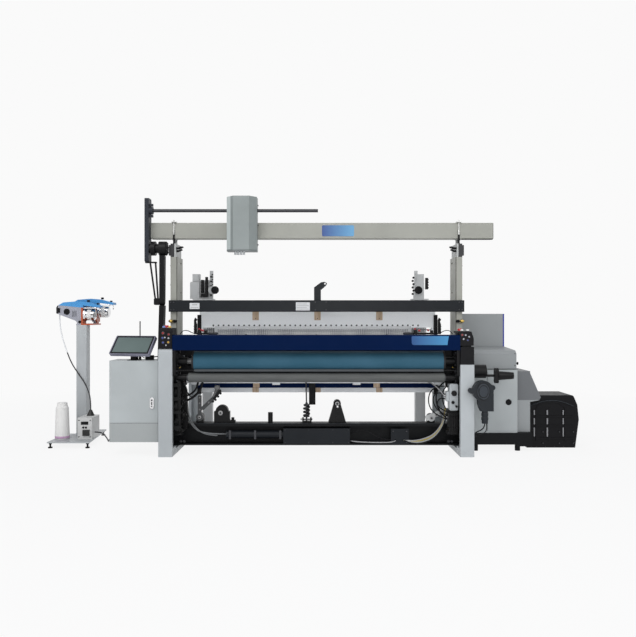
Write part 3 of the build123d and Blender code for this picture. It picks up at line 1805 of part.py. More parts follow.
# Yarn feeders: a moulded motor body with a guide arm over the drum, and the winding drum that turns
feeder_length = 262.0
feeder_width = 100.0
feeder_chin = 100.0
feeder_crown = 132.0
feeder_arm_length = 165.0
feeder_arm_thickness = 22.0
feeder_places = (
    (stand_column_x - 249.0, stand_column_y + stand_column_width / 2, 1242.0),
    (stand_column_x - 158.0, stand_column_y + stand_column_width / 2 + 150.0, 1272.0),
)
drum_radius = 54.0
drum_length = 92.0
disc_radius = 62.0
disc_thickness = 14.0
disc_gap = 4.0
spindle_radius = 9.0
mount_bar = 14.0
with BuildPart() as yarn_feeders:
    for x, y, z in feeder_places:
        nose = x + feeder_length
        with BuildSketch(Plane.XZ.offset(-y - feeder_width / 2)):
            with BuildLine():
                Polyline(
                    (x, z + 14),
                    (x + 60, z - 10),
                    (nose - 70, z - 60),
                    (nose - 46, z - feeder_chin),
                    (nose, z - feeder_chin),
                    (nose, z + feeder_crown - 40),
                    (nose + feeder_arm_length, z + feeder_crown - 62),
                    (nose + feeder_arm_length, z + feeder_crown - 62 + feeder_arm_thickness),
                    (nose + 20, z + feeder_crown - 6),
                    (nose - 60, z + feeder_crown),
                    (x + 70, z + feeder_crown - 10),
                    (x + 10, z + 88),
                    (x, z + 70),
                    close=True,
                )
            make_face()
        extrude(amount=feeder_width)
        rod_x(nose - 60, nose + 1, y, z, spindle_radius + running_clearance, Mode.SUBTRACT)
    first_x, first_y, first_z = feeder_places[0]
    second_x, second_y, second_z = feeder_places[1]
    slab(
        stand_column_x - stand_column_width / 2,
        stand_column_x + stand_column_width / 2 + 60,
        stand_column_y,
        second_y + feeder_width / 2,
        stand_column_top,
        stand_column_top + mount_bar,
    )
    for x, y, z in feeder_places:
        nose = x + feeder_length
        slab(nose - 44, nose - 4, y - 25, y + 25, stand_column_top + mount_bar - 14, z - feeder_chin + 6)
save(yarn_feeders.part, "yarn_feeders")

for number, (x, y, z) in enumerate(feeder_places, start=1):
    disc_left = x + feeder_length + disc_gap
    with BuildPart() as feeder_drum:
        rod_x(x + feeder_length - 58, disc_left, y, z, spindle_radius)
        rod_x(disc_left, disc_left + disc_thickness, y, z, disc_radius)
        rod_x(disc_left + disc_thickness, disc_left + disc_thickness + drum_length, y, z, drum_radius)
        chamfer(feeder_drum.edges().filter_by(GeomType.CIRCLE).sort_by(Axis.X)[-1], 8)
    save(feeder_drum.part, f"feeder_drum_{number}")

# Cable trunk in the front beam's channel: pipe, junction box and the plate with two gland holes
trunk_y = beam_y + 52.0
trunk_z = 141.0
trunk_radius = 36.0
pipe_left = -830.0
junction_left = -300.0
junction_right = 306.0
junction_top = 204.0
gland_left = 680.0
gland_right = 842.0
with BuildPart() as cable_trunk:
    rod_x(pipe_left, junction_left, trunk_y, trunk_z, trunk_radius)
    slab(
        junction_left,
        junction_right,
        beam_y - 16,
        beam_y + front_beam_depth - channel_wall,
        front_beam_bottom + channel_wall,
        junction_top,
    )
with BuildPart() as gland_plate:
    slab(gland_left, gland_right, beam_y - 8, beam_y, front_beam_bottom + 5, junction_top - 4)
    with BuildSketch(Plane.XZ.offset(-beam_y)):
        with Locations((gland_left + 40, 96), (gland_left + 116, 96)):
            Circle(9)
    extrude(amount=10, mode=Mode.SUBTRACT)
trunk_pieces = Compound([cable_trunk.part.solid(), gland_plate.part.solid()])
save(trunk_pieces, "cable_trunk")

# Harness castings on the front beam: lever stands, pillow block, peg, spring stand, pivot bracket
casting_y = beam_y + 40.0
casting_depth = 60.0
casting_back = casting_y + casting_depth
casting_bore = 10.0
pillow_x = -868.0
pillow_radius = 58.0
pillow_width = 144.0
pillow_eye_height = 102.0
peg_x = -423.0
peg_height = 92.0
pivot_x = 191.0
pivot_base = 164.0
pivot_height = 208.0
pivot_nose = 34.0
spring_x = -88.0
spring_ears = (spring_x - 42, spring_x + 30)
left_lever_x = -frame_half + 245.0
left_lever_z = 303.0
right_lever_x = frame_half - 262.0
right_lever_z = 296.0
lever_pin_radius = 12.0
lever_gap = 2.0
lever_thickness = 16.0
lever_y = casting_y - lever_gap
pin_end = lever_y - lever_thickness - 6
inner_block_left = frame_half - 99.0
with BuildPart() as harness_castings:
    with BuildSketch(Plane.XZ.offset(-casting_back)):
        with Locations((pillow_x, beam_top + pillow_eye_height)):
            Circle(pillow_radius)
        with Locations((pillow_x, beam_top + pillow_eye_height / 2)):
            Rectangle(pillow_width, pillow_eye_height)
        with Locations((pillow_x - 15, beam_top + pillow_eye_height - 17)):
            Circle(casting_bore, mode=Mode.SUBTRACT)
        with BuildLine():
            Polyline(
                (pivot_x - pivot_base / 2, beam_top),
                (pivot_x + pivot_base / 2, beam_top),
                (pivot_x + pivot_nose - 3, beam_top + pivot_height - pivot_nose),
                (pivot_x - pivot_nose + 3, beam_top + pivot_height - pivot_nose),
                close=True,
            )
        make_face()
        with Locations((pivot_x, beam_top + pivot_height - pivot_nose)):
            Circle(pivot_nose)
        with Locations((pivot_x + 4, beam_top + pivot_height - 66)):
            Circle(casting_bore, mode=Mode.SUBTRACT)
    extrude(amount=casting_depth)
    slab(
        pillow_x + pillow_width / 2,
        pillow_x + pillow_width / 2 + 50,
        casting_y,
        casting_back,
        beam_top,
        beam_top + 18,
    )
    rod_z(
        pillow_x + pillow_width / 2 + 26,
        casting_y + casting_depth / 2,
        beam_top + 18,
        beam_top + 44,
        14,
    )
    rod_z(peg_x, casting_y + 20, beam_top, beam_top + peg_height, 22)
    slab(pivot_x - 7, pivot_x + 7, casting_y - 14, casting_y, beam_top, beam_top + 120)
    slab(spring_ears[0], spring_ears[1] + 14, casting_y, casting_back, beam_top, beam_top + 12)
    for x in spring_ears:
        slab(x, x + 14, casting_y, casting_back, beam_top + 12, beam_top + 44)
    for x, z in ((left_lever_x, left_lever_z), (right_lever_x, right_lever_z)):
        slab(x - 34, x + 34, casting_y, casting_back, beam_top, z)
        rod_y(x, casting_y, casting_back, z, 34)
        rod_y(x, pin_end, casting_y, z, lever_pin_radius)
    slab(inner_block_left, frame_inner, beam_y - 30, casting_back, beam_top, 360)
save(harness_castings.part, "harness_castings")

# Left harness lever: an upright arm on its pin, with a slanted arm and the rod that lifts the frames
arm_half = 17.0
left_arm_top = 500.0
slant_start = (left_lever_x + 12.0, 372.0)
slant_end = (left_lever_x + 130.0, 478.0)
slant_half = 13.0
rod_top = (left_lever_x + 163.0, 589.0)
eye_radius = 34.0
with BuildPart() as left_harness_lever:
    with BuildSketch(Plane.XZ.offset(-lever_y)):
        with Locations((left_lever_x, left_lever_z)):
            Circle(eye_radius)
        with Locations((left_lever_x, (left_lever_z + left_arm_top) / 2)):
            Rectangle(2 * arm_half, left_arm_top - left_lever_z)
        with BuildLine():
            Polyline(
                (slant_start[0], slant_start[1] - slant_half),
                (slant_end[0] + slant_half, slant_end[1] - slant_half),
                (rod_top[0] + 12, rod_top[1] - 34),
                (rod_top[0] + 20, rod_top[1]),
                (rod_top[0] - 24, rod_top[1] + 8),
                (rod_top[0] - 20, rod_top[1] - 30),
                (slant_end[0] - slant_half, slant_end[1] + slant_half),
                (slant_start[0], slant_start[1] + slant_half + 8),
                close=True,
            )
        make_face()
        with Locations((left_lever_x, left_lever_z)):
            Circle(lever_pin_radius + running_clearance, mode=Mode.SUBTRACT)
    extrude(amount=lever_thickness)
save(left_harness_lever.part, "left_harness_lever")

# Right harness lever: a drilled bar on its pin, with two adjusting holes towards the frame
right_bar_start = (right_lever_x - 47.0, 288.0)
right_bar_end = (right_lever_x + 135.0, 368.0)
bar_half = 22.0
right_bar_lean = math.atan2(right_bar_end[1] - right_bar_start[1], right_bar_end[0] - right_bar_start[0])
bar_dx = bar_half * math.sin(right_bar_lean)
bar_dz = bar_half * math.cos(right_bar_lean)
with BuildPart() as right_harness_lever:
    with BuildSketch(Plane.XZ.offset(-lever_y)):
        with BuildLine():
            Polyline(
                (right_bar_start[0] - bar_dx, right_bar_start[1] + bar_dz),
                (right_bar_start[0] + bar_dx, right_bar_start[1] - bar_dz),
                (right_bar_end[0] + bar_dx, right_bar_end[1] - bar_dz),
                (right_bar_end[0] - bar_dx, right_bar_end[1] + bar_dz),
                close=True,
            )
        make_face()
        with Locations((right_lever_x, right_lever_z)):
            Circle(eye_radius)
        with Locations((right_bar_end[0] - 90, right_bar_end[1] - 40)):
            Circle(6, mode=Mode.SUBTRACT)
        with Locations((right_bar_end[0] - 46, right_bar_end[1] - 20)):
            Circle(10, mode=Mode.SUBTRACT)
        with Locations((right_lever_x, right_lever_z)):
            Circle(lever_pin_radius + running_clearance, mode=Mode.SUBTRACT)
    extrude(amount=lever_thickness)
save(right_harness_lever.part, "right_harness_lever")

# Cables: the feeder cable hangs from the first feeder to the funnel of the power box, and the
# supply cable runs from the power box to the control cabinet; straight runs joined by tangent arcs
cable_radius = 6.0
cable_gap = 0.3
oblique_gap = 3.6
column_pass_y = stand_column_y - cable_radius - 1.5
feeder_route = (
    (-2545.0, 97.0, 1246.9),
    (-2545.0, 97.0, 1150.0),
    (-2520.0, 92.0, 1022.0),
    (-2468.0, 68.0, 892.0),
    (-2408.0, column_pass_y - 2, 768.0),
    (-2340.0, column_pass_y, 664.0),
    (-2276.0, column_pass_y - 1, 574.0),
    (-2226.0, 20.0, 474.0),
    (funnel_x, funnel_y, 390.0),
    (funnel_x, funnel_y, power_top + funnel_height + cable_gap),
)
supply_route = (
    (power_right + cable_gap, -100.0, 112.0),
    (-2064.0, -100.0, 112.0),
    (-1996.0, -190.0, 80.0),
    (-1944.0, -290.0, 60.0),
    (-1916.0, -386.0, 72.0),
    (-1886.0, -460.0, 106.0),
    (cabinet_left - oblique_gap, -492.0, 134.0),
)


def bend_radii(route):
    """Radius of each bend: 0.45 of the shorter run beside it, over the tangent of half the turn."""
    radii = []
    for before, here, after in zip(route, route[1:], route[2:]):
        into = Vector(*here) - Vector(*before)
        away = Vector(*after) - Vector(*here)
        turn = math.radians(into.get_angle(away))
        radii.append(0.45 * min(into.length, away.length) / math.tan(turn / 2))
    return radii


for route, name in ((feeder_route, "feeder_cable"), (supply_route, "supply_cable")):
    radii = bend_radii(route)
    print(name, "bend radii", [round(radius) for radius in radii])
    with BuildPart() as cable:
        with BuildLine() as cable_line:
            FilletPolyline(*route, radius=radii)
        path = cable_line.wire()
        with BuildSketch(Plane(origin=path @ 0, z_dir=path % 0)):
            Circle(cable_radius)
        sweep()
    section_length = path.length * math.pi * cable_radius**2
    print(name, "volume", round(cable.part.volume), "section x length", round(section_length))
    save(cable.part, name)
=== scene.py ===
import math

import bmesh
import bpy
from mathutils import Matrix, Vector


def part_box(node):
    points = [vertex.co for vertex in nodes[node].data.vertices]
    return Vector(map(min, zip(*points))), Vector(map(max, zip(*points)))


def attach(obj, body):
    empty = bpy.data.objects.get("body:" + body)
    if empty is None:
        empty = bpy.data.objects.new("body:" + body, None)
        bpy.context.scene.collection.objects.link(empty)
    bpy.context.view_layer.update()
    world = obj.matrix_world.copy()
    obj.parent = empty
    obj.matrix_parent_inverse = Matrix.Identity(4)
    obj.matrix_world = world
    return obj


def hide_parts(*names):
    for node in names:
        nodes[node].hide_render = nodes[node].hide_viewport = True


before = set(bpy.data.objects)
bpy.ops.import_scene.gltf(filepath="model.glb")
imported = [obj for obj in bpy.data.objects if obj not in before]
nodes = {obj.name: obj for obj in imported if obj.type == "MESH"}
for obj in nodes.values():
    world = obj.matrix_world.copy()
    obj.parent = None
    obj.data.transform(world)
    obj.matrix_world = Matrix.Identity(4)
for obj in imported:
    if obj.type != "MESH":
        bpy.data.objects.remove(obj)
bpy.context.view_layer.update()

# Camera: level, 6 m in front of the legs and 1.2 m above the floor, as in the photograph. One pixel
# of the 636 px wide picture is 8.7 mm at the front of the legs.
camera_data = bpy.data.cameras.new("camera")
camera_data.sensor_width = 36.0
camera_data.lens = 39.04
camera_data.clip_end = 60.0
camera = bpy.data.objects.new("camera", camera_data)
camera.location = (0.015, -6.75, 1.205)
camera.rotation_euler = (math.radians(90), 0, 0)
bpy.context.scene.collection.objects.link(camera)
bpy.context.scene.camera = camera
bpy.context.scene.view_settings.view_transform = "Standard"


# Shader maths: a socket wrapped so that +, -, *, / and comparisons build Math nodes, and one maker
# for every other kind of node.
def feed(socket, item):
    """Links a Value to a socket, or sets the socket to a constant."""
    if isinstance(item, Value):
        socket.id_data.links.new(item.socket, socket)
    else:
        socket.default_value = item


class Value:
    def __init__(self, tree, socket):
        self.tree = tree
        self.socket = socket

    def maths(self, operation, *others):
        node = self.tree.nodes.new("ShaderNodeMath")
        node.operation = operation
        for place, item in enumerate((self, *others)):
            feed(node.inputs[place], item)
        return Value(self.tree, node.outputs[0])

    def __add__(self, other):
        return self.maths("ADD", other)

    def __sub__(self, other):
        return self.maths("SUBTRACT", other)

    def __mul__(self, other):
        return self.maths("MULTIPLY", other)

    def __truediv__(self, other):
        return self.maths("DIVIDE", other)

    def __gt__(self, other):
        return self.maths("GREATER_THAN", other)

    def __lt__(self, other):
        return self.maths("LESS_THAN", other)


class Material:
    """A Principled material; its varied inputs are Values made with node()."""

    def __init__(self, name, color, roughness=0.5, metallic=0.0, coat=0.0, coat_roughness=0.1, gloss=0.5):
        self.data = bpy.data.materials.new(name)
        self.data.use_nodes = True
        self.data.diffuse_color = (*color, 1)
        self.tree = self.data.node_tree
        self.shader = self.tree.nodes["Principled BSDF"]
        self.set("Base Color", (*color, 1))
        self.set("Roughness", roughness)
        self.set("Metallic", metallic)
        self.set("Coat Weight", coat)
        self.set("Coat Roughness", coat_roughness)
        self.set("Specular IOR Level", gloss)

    def set(self, socket, item):
        feed(self.shader.inputs[socket], item)

    def node(self, kind, output=0, settings=None, **inputs):
        made = self.tree.nodes.new("ShaderNode" + kind)
        for key, item in (settings or {}).items():
            setattr(made, key, item)
        for key, item in inputs.items():
            feed(made.inputs[key.replace("_", " ")], item)
        return Value(self.tree, made.outputs[output])

    def place(self):
        """Object coordinates in metres; every node's object sits at the origin."""
        return self.node("TexCoord", "Object")

    def axis(self, letter):
        """One of the object coordinates."""
        return self.node("SeparateXYZ", letter, Vector=self.place())

    def base(self):
        """What feeds the base colour so far."""
        return Value(self.tree, self.shader.inputs["Base Color"].links[0].from_socket)

    def noise(self, scale, detail=3.0, stretch=(1, 1, 1), roughness=0.5):
        spot = self.node("Mapping", Vector=self.place(), Scale=stretch)
        return self.node("TexNoise", 0, Vector=spot, Scale=scale, Detail=detail, Roughness=roughness)

    def mix(self, amount, low, high):
        """Colour between low and high."""
        made = self.tree.nodes.new("ShaderNodeMix")
        made.data_type = "RGBA"
        feed(made.inputs[0], amount)
        for place, item in ((6, low), (7, high)):
            feed(made.inputs[place], item if isinstance(item, Value) else (*item, 1))
        return Value(self.tree, made.outputs[2])

    def ramp(self, value, low, high, to_low=0.0, to_high=1.0):
        """A value stretched from one range to another, kept inside it."""
        return self.node(
            "MapRange", Value=value, From_Min=low, From_Max=high, To_Min=to_low, To_Max=to_high
        )

    def bump(self, height, strength=0.2, distance=0.001):
        self.set("Normal", self.node("Bump", Height=height, Strength=strength, Distance=distance))

    def edges(self, radius=0.002, samples=6):
        """0 on flats, rising to 1 on sharp edges: the bent normal against the true one."""
        bevel = self.node("Bevel", settings={"samples": samples}, Radius=radius)
        true = self.node("NewGeometry", "Normal")
        likeness = self.node("VectorMath", "Value", {"operation": "DOT_PRODUCT"})
        feed(likeness.socket.node.inputs[0], bevel)
        feed(likeness.socket.node.inputs[1], true)
        return self.ramp(likeness, 0.995, 0.8)


def tint(color, factor):
    return tuple(min(1.0, c * factor) for c in color)


def painted(name, color, roughness=0.42, grain=900.0, coat=0.1, wear=None, soil=0.1, gloss=0.4, zones=()):
    """Sprayed metal: orange peel, faint soil, worn edges in the colour wear, and zones of another
    colour, each beyond a limit along one axis."""
    made = Material(name, color, roughness, 0.0, coat, 0.25, gloss)
    cloud = made.noise(2.2, 4.0)
    shade = made.mix(made.ramp(cloud, 0.35, 0.7), tint(color, 1.0 - soil), tint(color, 1.0 + soil / 2))
    for axis, side, limit, other in zones:
        along = made.axis(axis)
        shade = made.mix(along > limit if side == ">" else along < limit, shade, other)
    if wear:
        chips = made.ramp(made.noise(60.0, 4.0), 0.45, 0.62)
        shade = made.mix(made.edges() * chips, shade, wear)
    made.set("Base Color", shade)
    made.set("Roughness", made.ramp(made.noise(14.0, 3.0), 0.3, 0.7, roughness - 0.06, roughness + 0.08))
    made.bump(made.noise(grain, 2.0), 0.06, 0.0004)
    return made


def metal(name, color, roughness=0.32, along=(1, 1, 1), scale=260.0, metallic=1.0):
    """Bare metal with fine marks drawn out along one direction."""
    made = Material(name, color, roughness, metallic)
    marks = made.noise(scale, 3.0, along)
    made.set("Base Color", made.mix(made.ramp(marks, 0.3, 0.7), tint(color, 0.86), tint(color, 1.08)))
    made.set("Roughness", made.ramp(marks, 0.25, 0.75, roughness - 0.08, roughness + 0.12))
    made.bump(marks, 0.08, 0.0003)
    return made


def moulded(name, color, roughness=0.5, coat=0.0, grain=1400.0, gloss=0.4):
    """Moulded plastic: a fine spark-eroded grain and slight change of gloss."""
    made = Material(name, color, roughness, 0.0, coat, 0.12, gloss)
    made.set("Base Color", made.mix(made.noise(5.0, 2.0), tint(color, 0.9), tint(color, 1.1)))
    made.set("Roughness", made.ramp(made.noise(22.0, 2.0), 0.3, 0.7, roughness - 0.05, roughness + 0.07))
    made.bump(made.noise(grain, 1.0), 0.1, 0.0003)
    return made


def dress(material, *names):
    """Gives CAD nodes their material."""
    for name in names:
        nodes[name].data.materials.clear()
        nodes[name].data.materials.append(material.data)


# Floor: one pale round sheet. The camera sees it as the photograph's near-white ground with a faint
# contact shadow, which fades out towards the rim; for other rays it is a plain pale floor.
def glow(tree, kind, plain, target, fade=None):
    """Mixes a shader with an even near-white for rays that end in the camera, in gloss or in glass."""
    white = tree.nodes.new(kind)
    white.inputs["Color"].default_value = (0.956, 0.956, 0.956, 1)
    path = tree.nodes.new("ShaderNodeLightPath")
    camera_ray, glossy_ray, glass_ray = (
        Value(tree, path.outputs["Is %s Ray" % ray]) for ray in ("Camera", "Glossy", "Transmission")
    )
    share = camera_ray + glossy_ray + glass_ray
    if fade:
        share = share * fade
    mixed = tree.nodes.new("ShaderNodeMixShader")
    for place, socket in enumerate((share.socket, plain.outputs[0], white.outputs[0])):
        tree.links.new(socket, mixed.inputs[place])
    tree.links.new(mixed.outputs[0], tree.nodes[target].inputs[0])


stage_radius = 30.0
stage_mesh = bpy.data.meshes.new("floor")
stage_build = bmesh.new()
bmesh.ops.create_circle(stage_build, cap_ends=True, segments=64, radius=stage_radius)
stage_build.to_mesh(stage_mesh)
stage_build.free()
stage = bpy.data.objects.new("floor", stage_mesh)
bpy.context.scene.collection.objects.link(stage)
ground = Material("ground", (0.9, 0.9, 0.9), 0.9, gloss=0.0)
away = ground.node("VectorMath", "Value", {"operation": "LENGTH"}, Vector=ground.place())
ground_fade = ground.ramp(away, 2.8, 6.5, 0.91, 1.0)
glow(ground.tree, "ShaderNodeEmission", ground.shader, "Material Output", ground_fade)
stage_mesh.materials.append(ground.data)

# Light: a soft sky, a large soft box high in front at the left, a weaker one at the right, a low one
# near the camera and one behind
world = bpy.data.worlds.new("studio")
world.use_nodes = True
sky = world.node_tree.nodes["Background"]
sky.inputs["Color"].default_value = (0.93, 0.95, 1.0, 1)
sky.inputs["Strength"].default_value = 0.5
glow(world.node_tree, "ShaderNodeBackground", sky, "World Output")
bpy.context.scene.world = world
light_target = Vector((0, 0, 0.9))
for name, place, size, power in (
    ("key_box", (-3.2, -6.0, 6.4), 4.5, 240.0),
    ("fill_box", (4.6, -5.2, 4.2), 4.0, 120.0),
    ("front_box", (0.4, -7.6, 1.7), 3.6, 110.0),
    ("rear_box", (0.0, 4.5, 6.0), 5.0, 120.0),
):
    box_data = bpy.data.lights.new(name, "AREA")
    box_data.size = size
    box_data.energy = power
    box = bpy.data.objects.new(name, box_data)
    box.location = place
    box.rotation_euler = (light_target - Vector(place)).to_track_quat("-Z", "Y").to_euler()
    bpy.context.scene.collection.objects.link(box)

# Cables: the feeder cable and the supply cable follow the routes of the part's source
def curve(name, points, radius, material, steps, sides, capped):
    """A smooth round line drawn by control points."""
    line = bpy.data.curves.new(name, "CURVE")
    line.dimensions = "3D"
    line.bevel_depth = radius
    line.bevel_resolution = sides
    line.resolution_u = steps
    line.use_fill_caps = capped
    line.materials.append(material.data)
    spline = line.splines.new("NURBS")
    spline.points.add(len(points) - 1)
    for point, spot in zip(spline.points, points):
        point.co = (*spot, 1)
    spline.order_u = 3
    spline.use_endpoint_u = True
    made = bpy.data.objects.new(name, line)
    bpy.context.scene.collection.objects.link(made)
    return made


cable_diameter = 0.012
feeder_route = (
    (-2.545, 0.097, 1.2469),
    (-2.545, 0.097, 1.15),
    (-2.52, 0.092, 1.022),
    (-2.468, 0.068, 0.892),
    (-2.408, 0.0355, 0.768),
    (-2.34, 0.0375, 0.664),
    (-2.276, 0.0365, 0.574),
    (-2.226, 0.02, 0.474),
    (-2.193, -0.04, 0.39),
    (-2.193, -0.04, 0.3193),
)
supply_route = (
    (-2.1327, -0.1, 0.112),
    (-2.064, -0.1, 0.112),
    (-1.996, -0.19, 0.08),
    (-1.944, -0.29, 0.06),
    (-1.916, -0.386, 0.072),
    (-1.886, -0.46, 0.106),
    (-1.8216, -0.492, 0.134),
)
cable_jacket = moulded("cable_jacket", (0.03, 0.03, 0.032), 0.48)
feeder_jacket = moulded("feeder_jacket", (0.03, 0.03, 0.032), 0.48)
sleeve_low = 0.87
feeder_height = feeder_jacket.axis("Z")
feeder_jacket.set(
    "Base Color",
    feeder_jacket.mix(feeder_height > sleeve_low, (0.03, 0.03, 0.032), (0.78, 0.79, 0.8)),
)
for route, name, jacket in (
    (feeder_route, "feeder_cable", feeder_jacket),
    (supply_route, "supply_cable", cable_jacket),
):
    cable = curve(name + "_line", route, cable_diameter / 2, jacket, 12, 4, False)
    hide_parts(name)
    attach(cable, "frame")
    "hanging" if name == "feeder_cable" else "loose"

# Paints, metals and plastics of the machine, each with its own grain
frame_paint = painted("frame_paint", (0.405, 0.432, 0.446), 0.45)
post_paint = painted("post_paint", (0.31, 0.312, 0.278), 0.5)
dark_paint = painted("dark_paint", (0.01, 0.012, 0.015), 0.5, wear=(0.06, 0.06, 0.06), gloss=0.1)
beam_paint = painted("beam_paint", (0.0035, 0.004, 0.005), 0.45, coat=0.03,
    wear=(0.04, 0.04, 0.04), gloss=0.12)
column_paint = painted("column_paint", (0.024, 0.027, 0.035), 0.5, coat=0.03, gloss=0.15)
gear_paint = painted("gear_paint", (0.013, 0.016, 0.02), 0.45, coat=0.03, wear=(0.06, 0.06, 0.065), gloss=0.2)
black_casting = painted("black_casting", (0.0035, 0.0035, 0.004), 0.42, 420.0, coat=0.03,
    wear=(0.05, 0.05, 0.05), gloss=0.16)
navy_paint = painted("navy_paint", (0.0008, 0.0085, 0.044), 0.5, coat=0.0, gloss=0.03, soil=0.05)
# Below z 0.288 the control cabinet is darker: painted shade on its lower panel.
cabinet_paint = painted("cabinet_paint", (0.41, 0.44, 0.445), 0.5, 1600.0,
    zones=(("Z", "<", 0.288, (0.33, 0.35, 0.35)),))
side_paint = painted("side_paint", (0.36, 0.385, 0.39), 0.5, 1600.0,
    zones=(("Z", ">", 0.744, (0.245, 0.26, 0.265)),))
# The boot guard's own grey shows below z 0.456; above it the darker colour is painted shade.
boot_paint = painted("boot_paint", (0.125, 0.132, 0.14), 0.5, 1600.0,
    zones=(("Z", "<", 0.456, (0.26, 0.275, 0.28)),))
bracket_paint = painted("bracket_paint", (0.42, 0.43, 0.42), 0.45, zones=(
    ("X", ">", 1.3262, (0.012, 0.012, 0.014)), ("X", "<", -1.3262, (0.012, 0.012, 0.014))))
unit_paint = painted("unit_paint", (0.5, 0.51, 0.51), 0.5)
# The rear columns are painted lighter than the frame: painted light that makes up for the shade they stand
# in.
rear_paint = painted("rear_paint", (0.62, 0.63, 0.63), 0.5)
stand_paint = painted("stand_paint", (0.42, 0.44, 0.45), 0.45)
steel = metal("turned_steel", (0.5, 0.5, 0.49), 0.3, (1, 14, 14))
lever_paint = painted("lever_paint", (0.05, 0.052, 0.054), 0.45, wear=(0.2, 0.2, 0.2), gloss=0.3)
lever_steel = metal("lever_steel", (0.17, 0.17, 0.17), 0.42, (1, 1, 1), metallic=0.2)
shaft_steel = metal("blued_steel", (0.028, 0.029, 0.034), 0.38, (1, 20, 20), metallic=0.25)
# The alloy's colour is raised to near white: painted light that makes up for the shade over the heald frames
# and sley.
alloy = metal("anodised_alloy", (0.9, 0.92, 0.95), 0.5, (1, 30, 30), metallic=0.0)
reed_steel = metal("reed_steel", (0.34, 0.35, 0.36), 0.4, (1, 1, 0.05), 400.0, metallic=0.3)
chrome = metal("plated", (0.75, 0.75, 0.76), 0.14, (1, 1, 1), 90.0)
black_plastic = moulded("black_plastic", (0.0035, 0.0035, 0.0045), 0.45, gloss=0.14)
grey_plastic = moulded("grey_plastic", (0.38, 0.39, 0.39), 0.5)
rubber = moulded("foot_rubber", (0.007, 0.007, 0.007), 0.7, gloss=0.15)
grey_rubber = moulded("grey_rubber", (0.045, 0.052, 0.058), 0.6)
brass = metal("brass", (0.52, 0.36, 0.1), 0.3, (1, 1, 1), 120.0)
usual_slots = {black_plastic: "black_plastic", black_casting: "black_casting", shaft_steel: "steel"}
dress(frame_paint, "left_side_frame", "right_side_frame")
dress(rear_paint, "rear_columns")
dress(post_paint, "upper_posts", "top_beam")
dress(beam_paint, "front_cross_beam", "rear_cross_beam", "breast_beam", "machine_base")
dress(dark_paint, "guard_bar", "cable_trunk")
dress(column_paint, "selvedge_column")
dress(black_casting, "roller_brackets", "drive_hub", "auxiliary_motor", "harness_castings")
dress(bracket_paint, "beam_saddles")
dress(black_plastic, "heald_guides", "selvedge_drive_arm", "left_button_box", "right_button_box")
dress(black_plastic, "screen_post", "motor_cover", "motor_handwheel")
dress(navy_paint, "breast_beam_cover")
dress(cabinet_paint, "control_cabinet", "cabinet_door")
dress(side_paint, "side_cabinet")
dress(boot_paint, "boot_guard")
dress(unit_paint, "harness_units")
dress(stand_paint, "feeder_stand")
dress(steel, "back_rest_roller", "warp_stop_head")
dress(lever_paint, "left_harness_lever")
dress(unit_paint, "right_harness_lever")
dress(shaft_steel, "selvedge_shaft")
dress(alloy, "sley", "heald_frames_odd", "heald_frames_even")
dress(reed_steel, "reed")
dress(chrome, "door_latch", "feeder_drum_1", "feeder_drum_2")
dress(rubber, "stand_feet")

# Take-up roller: a teal rubber cover with fine turned ribs, and black flanges
cover = Material("roller_cover", (0.022, 0.09, 0.144), 0.62, gloss=0.15)
along = cover.axis("X")
cover_tone = cover.mix(cover.ramp(cover.noise(3.0, 3.0), 0.3, 0.7), (0.024, 0.085, 0.13),
    (0.036, 0.105, 0.158))
on_body = (along > -1.0805) * (along < 1.1205)
cover.set("Base Color", cover.mix(on_body, (0.02, 0.02, 0.02), cover_tone))
cover.bump(cover.noise(700.0, 2.0, (6, 1, 1)), 0.3, 0.0006)
dress(cover, "take_up_roller")
press_cover = Material("press_cover", (0.056, 0.06, 0.059), 0.5, gloss=0.25)
press_tone = press_cover.ramp(press_cover.noise(4.0, 3.0, (1, 6, 6)), 0.3, 0.7)
press_cover.set("Base Color", press_cover.mix(press_tone, (0.075, 0.079, 0.078), (0.098, 0.103, 0.1)))
press_cover.bump(press_cover.noise(900.0, 2.0, (4, 1, 1)), 0.2, 0.0004)
dress(press_cover, "press_roller")

# Push buttons: glossy caps
for name, color in (
    ("left_stop_button", (0.5, 0.01, 0.012)),
    ("right_stop_button", (0.5, 0.01, 0.012)),
    ("left_start_button", (0.12, 0.22, 0.55)),
    ("left_jog_button", (0.75, 0.42, 0.03)),
    ("right_start_button", (0.72, 0.72, 0.7)),
    ("right_jog_button", (0.72, 0.72, 0.7)),
):
    dress(moulded(name + "_cap", color, 0.25, 0.5), name)

# Yarn cone: wound cotton, with a tinted paper base band
cone_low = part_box("yarn_cone")[0]
wound = Material("wound_yarn", (0.8, 0.79, 0.77), 0.85)
cone_z = wound.axis("Z")
winding = wound.node("TexWave", 1, {"wave_type": "BANDS", "bands_direction": "Z"}, Vector=wound.place(),
    Scale=90.0, Distortion=2.0, Detail=2.0)
band = (cone_z < cone_low.z + 0.03) * (cone_z > cone_low.z + 0.008)
wound.set("Base Color", wound.mix(band, wound.mix(winding, (0.72, 0.71, 0.69), (0.88, 0.87, 0.85)),
    (0.55, 0.35, 0.52)))
wound.bump(winding, 0.4, 0.001)
dress(wound, "yarn_cone")

# Top beam: the long bolts that hook it to its brackets, each pair with a bridge plate, nuts, a dark
# lower sleeve and a hexagon coupling; the plug in its right end with the rubber strip below; a plain
# blue plate on its front.
FRONT, UP, RIGHT = (0, -1, 0), (0, 0, 1), (1, 0, 0)


